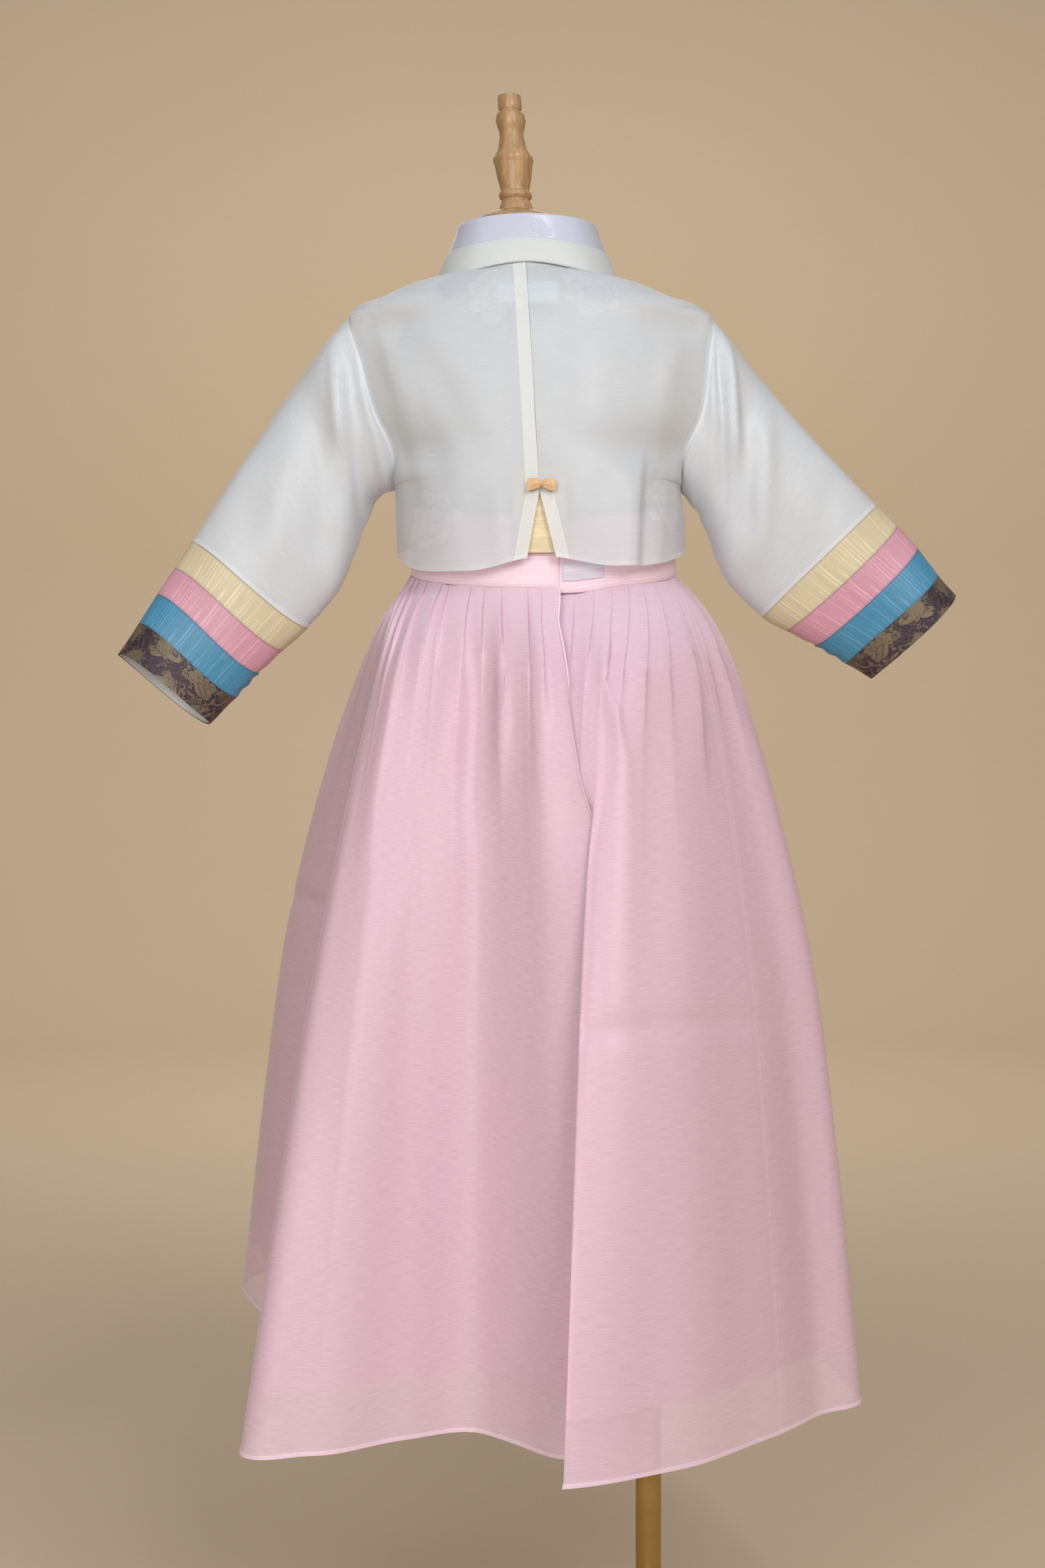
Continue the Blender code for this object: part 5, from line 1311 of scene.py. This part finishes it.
def sleeve_cloth(rings):
    """UV of a sleeve or strip in metres: even turns round its mean girth, and length along its middle."""
    girth = np.linalg.norm(np.diff(rings, axis=1, append=rings[:, :1]), axis=-1).sum(axis=1).mean()
    centres = rings.mean(axis=1)
    run = np.linalg.norm(np.diff(centres, axis=0, prepend=centres[:1]), axis=-1).cumsum()
    return np.stack(np.meshgrid(np.linspace(0.0, girth, rings.shape[1] + 1), run), axis=-1)


def sleeve_start(sections, turn):
    """The ellipse that the first section of a sleeve would be without the armhole."""
    top = np.array([sections["top_x"][0], sections["y"][0], sections["top_z"][0]])
    bottom = np.array([sections["bottom_x"][0], sections["y"][0], sections["bottom_z"][0]])
    swell = sections["half"][0] * np.sin(turn)[:, None] * BEHIND
    return (top + bottom) / 2 - (top - bottom) / 2 * np.cos(turn)[:, None] + swell


def build_sleeves():
    """Each sleeve, the four strips at its end, and the white lining that shows inside its cuff."""
    colours = choices()
    loops = armhole_loop(jacket_levels())
    finish = {
        "yellow": band_cloth("band_yellow", colours.band_yellow),
        "pink": band_cloth("band_pink", colours.band_pink),
        "blue": band_cloth("band_blue", colours.band_blue),
        "brocade": cuff_brocade(),
    }
    white = jacket_organza("jacket_organza_sleeve", 0.60, (0.62, 0.36))
    lining = plain_silk("cuff_lining", (0.66, 0.67, 0.68), 0.36)
    for side, hand in (("left", 1), ("right", -1)):
        sleeve = "sleeve_" + side
        armhole = loops[hand]
        for number, band in enumerate(BANDS):
            first = FIRST_BAND + number
            rings = sleeve_rings(side, armhole, np.linspace(first + BAND_GAP, first + 1 - BAND_GAP, 12))
            marks = edges(rings, "first last", True)
            strip = cloth_wall(f"{sleeve}_{band}_cloth", rings, 0.0010, sleeve_cloth(rings), marks, True)
            settle(strip, finish[band], band, f"{sleeve}_{band}")
        inner = sleeve_rings(side, armhole, np.linspace(*CUFF_LINING, 10), 0.0014)
        tube = cloth_wall(f"{sleeve}_cuff_lining", inner, 0.0005, None, edges(inner, "last", True), True)
        settle(tube, lining, "organza_white")
        rings = sleeve_rings(side, armhole, np.linspace(0.0, FIRST_BAND - BAND_GAP, 84))
        edge = to_border(rings, "first last", True)
        turn = around_once(2 * ARMHOLE_STEPS)
        from_seam = np.broadcast_to(np.minimum(turn, 2 * PI - turn) * 0.05, edge.shape)
        marks = {"edge": np.full(edge.shape, 1.0), "seam": np.minimum(edge, from_seam),
                 "facing": np.full(edge.shape, 1.0)}
        body = cloth_wall(f"{sleeve}_cloth", rings, colours.jacket_cloth, sleeve_cloth(rings), marks, True)
        settle(body, white, "organza_white", sleeve)


def front_depth(x, z):
    """Depth of the jacket's front at an X offset and a height on the chest."""
    side_z = JACKET_LEVELS["side_z"]
    sides = [curve(side_z, JACKET_LEVELS[side], z) for side in ("left", "right")]
    reach = np.where(x > 0, sides[0], sides[1])
    height = (z - ARMHOLE_Z[0]) / (ARMHOLE_Z[1] - ARMHOLE_Z[0])
    inside = 2 * np.sqrt(np.clip(height * (1 - height), 0.0, 0.25))
    edge = np.maximum(ARMHOLE_HALF_DEPTH * inside, 0.0002)
    share = np.clip(np.abs(x) / reach, 0.0, 1.0)
    depth = curve(side_z, JACKET_LEVELS["front"], z)
    return section_depth(share, depth, edge, beside_sleeve(z))


def collar_line(prefix, at, hand):
    """One edge of the collar on one side, as points at places counted in stations."""
    order = np.arange(-1.0, 7.0)
    found = []
    for axis, mirror in zip("xyz", (-1, 1, 1)):
        whole = COLLAR[f"{prefix}_{axis}"]
        found.append(curve(order, np.concatenate([[mirror * whole[1]], whole]), at))
    x, y, z = found
    on_chest = smooth((COLLAR_ON_CHEST_Z - z) / 0.03)
    y = y + (-front_depth(hand * x, z) - 0.0020 - y) * on_chest
    if hand < 0:
        y = y + inner_inset(x, z) * smooth(at - 2.0)
    centre = np.where(z < COLLAR_ON_CHEST_Z, clothes_x(z), clothes_x(COLLAR_ON_CHEST_Z))
    return np.stack([centre + hand * x, y, z], axis=1)


def collar_middle(shares):
    """Middle points of the collar at shares of its height, from one lower end round to the other."""
    at = np.linspace(0.0, 6.0, 6 * 18 + 1)
    both = []
    for prefix in ("seam", "top"):
        outer = collar_line(prefix, at, 1)
        inner = collar_line(prefix, at[:0:-1], -1)
        both.append(np.concatenate([inner, outer]))
    seam, top = both
    return seam + (top - seam) * shares[:, None, None]


def build_collar():
    """The git, and the satin collar that stands up out of it and lies under its upper edge."""
    shares = np.concatenate([[-0.030, -0.015, 0.0, 0.02, 0.05], np.linspace(0.09, 0.45, 8),
                             [0.475, 0.492, 0.502]])
    middle = collar_middle(shares)
    out = unit(outward(middle))
    out = out * (1.0 if out[0, len(out[0]) // 2, 1] > 0 else -1.0)
    crown = np.sin(PI * np.clip(shares / 0.5, 0, 1))[:, None, None]
    lip = smooth(-shares / 0.03)[:, None, None]
    middle = middle + out * (0.0004 + 0.0006 * crown + 0.0011 * lip)
    marks = edges(middle, "first last start end")
    thickness = 0.0007 + 0.0012 * np.sqrt(smooth(marks["edge"] / 0.0030))
    git = cloth_wall("git_cloth", middle, thickness, None, marks)
    settle(git, plain_silk("git_silk", choices().cream, 0.5, 1500.0, 0.04), "cream", "git")

    shares = np.concatenate([np.linspace(0.46, 0.92, 12), [0.95, 0.972, 0.988, 1.0]])
    middle = collar_middle(shares) - 0.0006 * np.broadcast_to(out[:1], (len(shares), *out.shape[1:]))
    roll = smooth((shares - 0.80) / 0.2)[:, None, None]
    middle = middle + 0.0008 * roll * out[:1]
    marks = edges(middle, "last start end")
    thickness = 0.0008 + 0.0013 * np.sqrt(smooth(marks["edge"] / 0.0028))
    satin = cloth_wall("satin_collar_cloth", middle, thickness, None, marks)
    settle(satin, collar_satin(), "satin", "satin_collar")


# ---- underlay, label, bow and tie -----------------------------------------------------------------
# one wing of the bow, outwards from the knot
BOW = table(
    "x half_height half_depth",
    (0.0012, 0.0031, 0.0009), (0.0024, 0.0035, 0.0012), (0.0036, 0.0039, 0.0015), (0.0052, 0.0043, 0.0016),
    (0.0072, 0.0045, 0.0015), (0.0094, 0.0047, 0.0013), (0.0110, 0.0048, 0.0011), (0.0116, 0.0047, 0.0008),
)
# ends of the front tie: name, how far each swings aside, Z of its foot, how far before the line it hangs,
# and its flat length
TAILS = (("goreum_long", -0.010, 0.755, 0.0, 0.270), ("goreum_short", 0.016, 0.810, 0.0022, 0.210))
TAIL_ROWS = 70
LABEL_LEVEL = 7     # the level of the jacket's body beside the neck label
KNOT_Y = -0.1115
KNOT_Z = 1.020
RIBBON_CLOTH = 0.0009   # thickness of the front tie


def pinched_rings(stations, along, upright, centre, folds, wave):
    """Rings of a gathered form: ellipses on a line, whose radius ripples by 1 + wave cos(folds turn)."""
    turn = around_once(40)
    ripple = 1 + wave * np.cos(folds * turn)[None, :]
    across, height, depth = (stations[key][:, None] for key in ("x", "half_height", "half_depth"))
    line = centre + across[..., None] * along
    sides = depth[..., None] * np.cos(turn)[None, :, None] * BEHIND
    tall = height[..., None] * np.sin(turn)[None, :, None] * upright
    return line + (sides + tall) * ripple[..., None]


def ribbon_grid(path, across, crease):
    """A ribbon as a grid: 11 lines across it, with one soft crease along it whose height is given."""
    share = np.linspace(-0.5, 0.5, 11)[:, None, None]
    line = path[None] + across[None] * share
    height = np.broadcast_to(crease, (len(path),))[None, :, None] * np.cos(share * 3 * PI)
    return line - height * BEHIND


def build_slips():
    """The yellow underlay behind the slit, rippled at its foot, and the blank label at the neck."""
    across = np.linspace(-0.022, 0.022, 30)
    heights = np.linspace(0.9385, 1.008, 34)[:, None]
    ripple = 0.0006 * np.sin(210 * across + 30 * heights) * smooth((0.98 - heights) / 0.03)
    middle = points_at(clothes_x(heights) + across, 0.0935 - 1.6 * across ** 2 + ripple, heights)
    under = cloth_wall("slit_underlay_cloth", middle, 0.0008, None, edges(middle, "first start end"))
    settle(under, plain_silk("underlay_silk", (0.84, 0.70, 0.45), 0.5, 420.0), "yellow", "slit_underlay")

    across = np.linspace(-0.026, 0.026, 25)
    heights = np.linspace(1.1465, 1.1660, 9)[:, None]
    depth = np.interp(heights, JACKET_LEVELS["back_z"], JACKET_LEVELS["back"]) - 0.0028
    y = depth * (1 - (np.abs(across) / JACKET_LEVELS["left"][LABEL_LEVEL]) ** SECTION_POWER) ** 0.5
    middle = points_at(clothes_x(heights) + across, y, heights)
    label = cloth_wall("neck_label_cloth", middle, 0.0004, None, edges(middle, "first last start end"))
    settle(label, plain_silk("label_cloth", (0.84, 0.94, 0.98), 0.5, 1500.0), "label", "neck_label")


def build_bow():
    """The small bow at the top of the slit: a round knot and two flat wings that droop a little."""
    silk = plain_silk("bow_silk", choices().bow, 0.42)
    x = clothes_x(SLIT_TOP_Z) - 0.0015
    centre = np.array([x, JACKET_LEVELS["back"][1] + 0.0040, SLIT_TOP_Z + 0.0060])
    across = np.linspace(-1, 1, 14) * 0.0026
    round_off = np.sqrt(np.clip(1 - (across / 0.0028) ** 2, 0.05, 1))
    knot = {"x": across, "half_height": 0.0030 * round_off, "half_depth": 0.0019 * round_off}
    settle(loft("bow_knot", pinched_rings(knot, UP, ASIDE, centre, 4, 0.05)), silk, "bow", "back_bow")
    order = np.arange(len(BOW["x"]))
    wing = {key: curve(order, BOW[key], np.linspace(0, order[-1], 26)) for key in BOW}
    for name, hand, droop in (("bow_wing_left", 1, -0.10), ("bow_wing_right", -1, -0.16)):
        along = unit(np.array([hand, 0.0, droop]))
        settle(loft(name, pinched_rings(wing, along, UP, centre, 5, 0.10)), silk, "bow")


def build_goreum():
    """The front tie: its knot, a loop that stands out to one side, and two ends that hang down."""
    pink = plain_silk("tie_silk", choices().band_pink, 0.42)
    centre = np.array([clothes_x(KNOT_Z) - FRONT_OVERLAP, KNOT_Y, KNOT_Z])
    share = np.linspace(-1, 1, 18)
    bulge = np.sqrt(np.clip(1 - 0.55 * share ** 4, 0.1, 1))
    knot = {"x": share * 0.0105, "half_height": 0.0079 * bulge, "half_depth": 0.0039 * bulge}
    tied = loft("goreum_knot_silk", pinched_rings(knot, UP, ASIDE, centre, 6, 0.03))
    settle(tied, pink, "pink", "goreum_knot")

    out = np.linspace(0.0, 1.0, 26)
    start = centre + np.array([0.0095, 0.0020, 0.0])
    under = start + out[:, None] * np.array([0.060, 0.004, -0.010])
    over = under - np.array([0.0, 0.006, 0.0]) * np.sin(PI * out * 0.5 + 0.35)[:, None]
    turn = np.linspace(0, PI, 9)[1:-1]
    tip = (under[-1] + over[-1]) / 2
    bend = tip + np.stack([0.004 * np.sin(turn), (under[-1] - tip)[1] * np.cos(turn), 0 * turn], axis=1)
    path = np.concatenate([under, bend, over[::-1]])
    gather = 0.35 + 0.65 * smooth(np.concatenate([out, np.ones(len(turn)), out[::-1]]) * 3.5)
    middle = ribbon_grid(path, np.array([0.003, 0.0, 0.026]) * gather[:, None], 0.0006)
    loop = cloth_wall("goreum_loop_cloth", middle, RIBBON_CLOTH, None, edges(middle, "first last"))
    settle(loop, pink, "pink", "goreum_loop")

    for name, swing, foot_z, before, flat_length in TAILS:
        z = np.linspace(TAIL_FALL["z"][0], foot_z, TAIL_ROWS)
        y = curve(-TAIL_FALL["z"], TAIL_FALL["y"], -z) - before
        gone = (z[0] - z) / (z[0] - z[-1])
        width = 0.010 + 0.020 * smooth(gone * 4)
        path = np.stack([centre[0] + swing * gone, y, z], axis=1)
        spread = np.stack([width, np.zeros(TAIL_ROWS), width * 0.05], axis=1)
        middle = ribbon_grid(path, spread, 0.0010 * (1 - 0.5 * gone))
        tail = cloth_wall(name + "_cloth", middle, RIBBON_CLOTH, None, edges(middle, "first last start end"))
        settle(tail, pink, "pink", name)


# ---- the stand -----------------------------------------------------------------------------------
def upright(z):
    """X of the pole's axis: 0 at every height."""
    return 0.0 * z


def build_stand():
    """Base, pole with its flange, jersey torso, wooden neck cap and finial."""
    brass, wood = brushed_brass(), turned_wood()
    settle(turned("stand_base", BASE, upright, 128), brass, "brass", "base")
    settle(turned("stand_pole", POLE, upright, 64), brass, "brass", "pole")
    z = np.concatenate([[0.685, 0.6853, 0.686], np.linspace(0.6875, 1.2250, 96)])
    half = {}
    for key in ("half_width", "half_depth"):
        # straight lines round the lower rim, a smooth curve above it
        half[key] = np.where(z > 0.70, curve(TORSO["z"], TORSO[key], z), np.interp(z, TORSO["z"], TORSO[key]))
    turn = around_once(112)
    x = form_x(z)[:, None] + half["half_width"][:, None] * np.cos(turn)
    rings = points_at(x, half["half_depth"][:, None] * np.sin(turn), z[:, None])
    settle(loft("form_torso", rings), form_jersey(), "form_cloth", "torso")
    settle(turned("form_neck_cap", NECK_CAP, form_x), wood, "wood", "neck_cap")
    settle(turned("form_finial", FINIAL, form_x), wood, "wood", "finial")


# ---- floor, backdrop, lights and camera ----------------------------------------------------------
FLOOR_REACH = 4.6
FLOOR_BEND = 1.6
WALL_REACH = 6.2
WALL_TOP = 6.5
FLOOR_Z = -0.0005
# round soft lights: name, place, where it points, diameter, which power it takes, what share of it, tint
LIGHTS = (
    ("key_light", (-1.2, 2.9, 2.2), (0.1, 0.0, 0.75), 1.3, "key_power", 1.0, (1.0, 0.99, 0.98)),
    ("fill_light", (1.1, 3.1, 1.5), (0.1, 0.0, 0.75), 1.8, "fill_power", 1.0, (0.94, 0.97, 1.0)),
    ("top_light", (-0.6, 2.3, 3.4), (0.1, 0.0, 1.0), 0.5, "key_power", 0.30, (1.0, 1.0, 1.0)),
    ("floor_light", (0.1, -3.6, 3.2), (0.1, -4.2, 0.0), 2.4, "wall_power", 0.40, (1.0, 0.90, 0.74)),
    ("far_light", (0.4, -2.8, 2.3), (0.1, 0.0, 0.75), 1.8, "fill_power", 0.15, (0.95, 0.98, 1.0)),
    ("wall_light", (0.1, -2.6, 3.6), (0.1, -6.2, 1.9), 2.4, "wall_power", 1.0, (1.0, 0.99, 0.98)),
)
ROOM_TINT = (0.80, 0.89, 1.0, 1.0)
CAMERA_PLACE = (0.108, 1.867, 0.75)


def build_floor():
    """A pale bowl for floor and backdrop: a flat disc, a quarter circle up from its rim, and a wall."""
    bend = np.linspace(0, PI / 2, 24)[1:]
    radius = np.concatenate([np.linspace(0.02, FLOOR_REACH, 24), FLOOR_REACH + FLOOR_BEND * np.sin(bend),
                             [WALL_REACH]])
    height = np.concatenate([np.zeros(24), FLOOR_BEND * (1 - np.cos(bend)), [WALL_TOP]])
    turn = around_once(96)
    x, y = radius[:, None] * np.cos(turn), radius[:, None] * np.sin(turn)
    rings = points_at(x, y, height[:, None] + FLOOR_Z)
    quads = grid_faces(len(radius), len(turn), True)
    mesh = bpy.data.meshes.new("floor_and_backdrop")
    mesh.from_pydata(rings.reshape(-1, 3).tolist(), [], quads.tolist() + [list(range(len(turn)))])
    mesh.shade_smooth()
    floor = bpy.data.objects.new("floor_and_backdrop", mesh)
    bpy.context.scene.collection.objects.link(floor)
    recipe = Recipe("pale_paper")
    dim, pale = shades(choices().backdrop, 0.97, 1.0)
    tint = recipe.blend(recipe.noise(recipe.here(), 1.3, 2.0), dim, pale)
    mesh.materials.append(recipe.finish(Base_Color=tint, Roughness=0.9))


def build_stage():
    """Floor and backdrop, soft lights before, above and behind, light from all round, and the camera."""
    build_floor()
    scene = bpy.context.scene
    for name, place, aim, size, power, share, tint in LIGHTS:
        light = bpy.data.lights.new(name, "AREA")
        light.shape = "DISK"
        light.size = size
        light.energy = getattr(choices(), power) * share
        light.color = tint
        lamp = bpy.data.objects.new(name, light)
        lamp.location = place
        lamp.rotation_euler = (Vector(aim) - Vector(place)).to_track_quat("-Z", "Y").to_euler()
        scene.collection.objects.link(lamp)

    world = bpy.data.worlds.new("soft_room")
    world.use_nodes = True
    room = world.node_tree.nodes["Background"].inputs
    room["Color"].default_value = ROOM_TINT
    room["Strength"].default_value = choices().room_light
    scene.world = world

    lens = bpy.data.cameras.new("camera")
    lens.lens = 50.0
    lens.sensor_width = 36.0
    lens.sensor_fit = "AUTO"
    camera = bpy.data.objects.new("camera", lens)
    camera.location = CAMERA_PLACE
    camera.rotation_euler = (PI / 2, 0.0, PI)
    scene.collection.objects.link(camera)
    scene.camera = camera
    scene.view_settings.view_transform = "Standard"


# ---- sizes and colours that a user may change ----------------------------------------------------
def length(name, about, default, low, high):
    """A length in metres."""
    return FloatProperty(name=name, description=about, default=default, min=low, max=high, unit="LENGTH",
                         subtype="DISTANCE", precision=4)


def colour(name, about, default):
    """A colour, linear."""
    return FloatVectorProperty(name=name, description=about, default=default, size=3, min=0.0, max=1.0,
                               subtype="COLOR")


def power(name, about, default):
    """The power of a light in watts."""
    return FloatProperty(name=name, description=about, default=default, min=0.0, max=500.0, unit="POWER")


class HanbokChoices(bpy.types.PropertyGroup):
    """Cloth thicknesses, how deep the folds are, the colours and the lights."""

    organza: length("Organza", "Thickness of the skirt's organza", 0.0008, 0.0003, 0.0012)
    jacket_cloth: length("Jacket cloth", "Thickness of the jacket's organza", 0.0006, 0.0003, 0.0012)
    lining_rise: length("Lining rise", "How far above the skirt's hem its lining ends", 0.048, 0.0, 0.2)
    fold_strength: FloatProperty(
        name="Folds", description="Depth of the soft folds as a share of their usual depth",
        default=1.0, min=0.0, max=1.5, subtype="FACTOR",
    )
    skirt_pink: colour("Skirt pink", "Colour of the skirt's organza", (0.95, 0.72, 0.84))
    lining_pink: colour("Lining pink", "Colour of the skirt's lining", (0.95, 0.64, 0.77))
    jacket_white: colour("Jacket white", "Colour of the jacket's organza", (0.83, 0.87, 0.92))
    facing: colour("Facing cream", "Colour of the folded edges at the back seam and slit", (0.90, 0.92, 0.91))
    cream: colour("Collar cream", "Colour of the git", (0.67, 0.705, 0.715))
    satin: colour("Collar satin", "Colour of the satin collar", (0.60, 0.63, 0.77))
    band_yellow: colour("Band yellow", "Colour of the first strip of each sleeve", (0.70, 0.605, 0.41))
    band_pink: colour("Band pink", "Colour of the second strip of each sleeve", (0.68, 0.34, 0.44))
    band_blue: colour("Band blue", "Colour of the third strip of each sleeve", (0.065, 0.27, 0.45))
    brocade_ground: colour("Brocade ground", "Ground colour of the cuffs", (0.045, 0.022, 0.042))
    brocade_gold: colour("Brocade gold", "Colour of the cuffs' flowers", (0.22, 0.175, 0.105))
    bow: colour("Bow", "Colour of the small bow at the slit", (0.80, 0.52, 0.28))
    wood: colour("Wood", "Colour of the finial and the neck cap", (0.56, 0.34, 0.16))
    brass: colour("Brass", "Colour of the pole and the base", (0.56, 0.38, 0.15))
    backdrop: colour("Backdrop", "Colour of the floor and the backdrop", (0.625, 0.50, 0.355))
    key_power: power("Key light", "Power of the main light", 40.0)
    fill_power: power("Fill light", "Power of the fill light", 42.0)
    wall_power: power("Backdrop light", "Power of the light on the backdrop", 50.0)
    room_light: FloatProperty(
        name="Room light", description="Strength of the light from all round", default=0.57, min=0.0, max=3.0,
    )


class HANBOK_OT_stage(bpy.types.Operator):
    """Set up the floor, backdrop, lights and camera"""

    bl_idname = "hanbok.stage"
    bl_label = "Stage"
    bl_options = {"REGISTER", "UNDO"}

    def execute(self, context):
        build_stage()
        return {"FINISHED"}


class HANBOK_OT_stand(bpy.types.Operator):
    """Make the brass stand, the form and its wooden finial"""

    bl_idname = "hanbok.stand"
    bl_label = "Stand"
    bl_options = {"REGISTER", "UNDO"}

    def execute(self, context):
        build_stand()
        return {"FINISHED"}


class HANBOK_OT_skirt(bpy.types.Operator):
    """Make the four pleated widths of the skirt"""

    bl_idname = "hanbok.skirt"
    bl_label = "Skirt"
    bl_options = {"REGISTER", "UNDO"}

    def execute(self, context):
        build_widths()
        return {"FINISHED"}


class HANBOK_OT_lining(bpy.types.Operator):
    """Make the lining inside the skirt"""

    bl_idname = "hanbok.lining"
    bl_label = "Skirt lining"
    bl_options = {"REGISTER", "UNDO"}

    def execute(self, context):
        build_lining()
        return {"FINISHED"}


class HANBOK_OT_waistband(bpy.types.Operator):
    """Make the waistband and its fastening strip"""

    bl_idname = "hanbok.waistband"
    bl_label = "Waistband"
    bl_options = {"REGISTER", "UNDO"}

    def execute(self, context):
        build_waistband()
        return {"FINISHED"}


class HANBOK_OT_backs(bpy.types.Operator):
    """Make the two backs of the jacket"""

    bl_idname = "hanbok.backs"
    bl_label = "Backs"
    bl_options = {"REGISTER", "UNDO"}

    def execute(self, context):
        build_backs()
        return {"FINISHED"}


class HANBOK_OT_fronts(bpy.types.Operator):
    """Make the two fronts of the jacket"""

    bl_idname = "hanbok.fronts"
    bl_label = "Fronts"
    bl_options = {"REGISTER", "UNDO"}

    def execute(self, context):
        build_fronts()
        return {"FINISHED"}


class HANBOK_OT_sleeves(bpy.types.Operator):
    """Make the sleeves with their coloured strips and cuffs"""

    bl_idname = "hanbok.sleeves"
    bl_label = "Sleeves"
    bl_options = {"REGISTER", "UNDO"}

    def execute(self, context):
        build_sleeves()
        return {"FINISHED"}


class HANBOK_OT_collar(bpy.types.Operator):
    """Make the git and the satin collar"""

    bl_idname = "hanbok.collar"
    bl_label = "Collar"
    bl_options = {"REGISTER", "UNDO"}

    def execute(self, context):
        build_collar()
        return {"FINISHED"}


class HANBOK_OT_slips(bpy.types.Operator):
    """Make the yellow underlay and the blank neck label"""

    bl_idname = "hanbok.slips"
    bl_label = "Underlay and label"
    bl_options = {"REGISTER", "UNDO"}

    def execute(self, context):
        build_slips()
        return {"FINISHED"}


class HANBOK_OT_bow(bpy.types.Operator):
    """Make the small bow at the slit"""

    bl_idname = "hanbok.bow"
    bl_label = "Bow"
    bl_options = {"REGISTER", "UNDO"}

    def execute(self, context):
        build_bow()
        return {"FINISHED"}


class HANBOK_OT_goreum(bpy.types.Operator):
    """Make the front tie"""

    bl_idname = "hanbok.goreum"
    bl_label = "Goreum"
    bl_options = {"REGISTER", "UNDO"}

    def execute(self, context):
        build_goreum()
        return {"FINISHED"}


OPERATORS = (
    HANBOK_OT_stage,
    HANBOK_OT_stand,
    HANBOK_OT_skirt,
    HANBOK_OT_lining,
    HANBOK_OT_waistband,
    HANBOK_OT_backs,
    HANBOK_OT_fronts,
    HANBOK_OT_sleeves,
    HANBOK_OT_collar,
    HANBOK_OT_slips,
    HANBOK_OT_bow,
    HANBOK_OT_goreum,
)


class VIEW3D_PT_hanbok(bpy.types.Panel):
    """The hanbok's sizes, colours and steps."""

    bl_label = "Hanbok"
    bl_space_type = "VIEW_3D"
    bl_region_type = "UI"
    bl_category = "Hanbok"

    def draw(self, context):
        """Every choice, then a button for each step."""
        for key in HanbokChoices.__annotations__:
            self.layout.prop(context.scene.hanbok, key)
        for made in OPERATORS:
            self.layout.operator(made.bl_idname)


def register():
    """Register every class and give the scene its choices."""
    for made in (HanbokChoices, *OPERATORS, VIEW3D_PT_hanbok):
        bpy.utils.register_class(made)
    bpy.types.Scene.hanbok = PointerProperty(type=HanbokChoices)


def unregister():
    """Undo register."""
    del bpy.types.Scene.hanbok
    for made in (VIEW3D_PT_hanbok, *reversed(OPERATORS), HanbokChoices):
        bpy.utils.unregister_class(made)


def main():
    register()
    for made in OPERATORS:
        family, step = made.bl_idname.split(".")
        getattr(getattr(bpy.ops, family), step)()


if __name__ == "__main__":
    main()
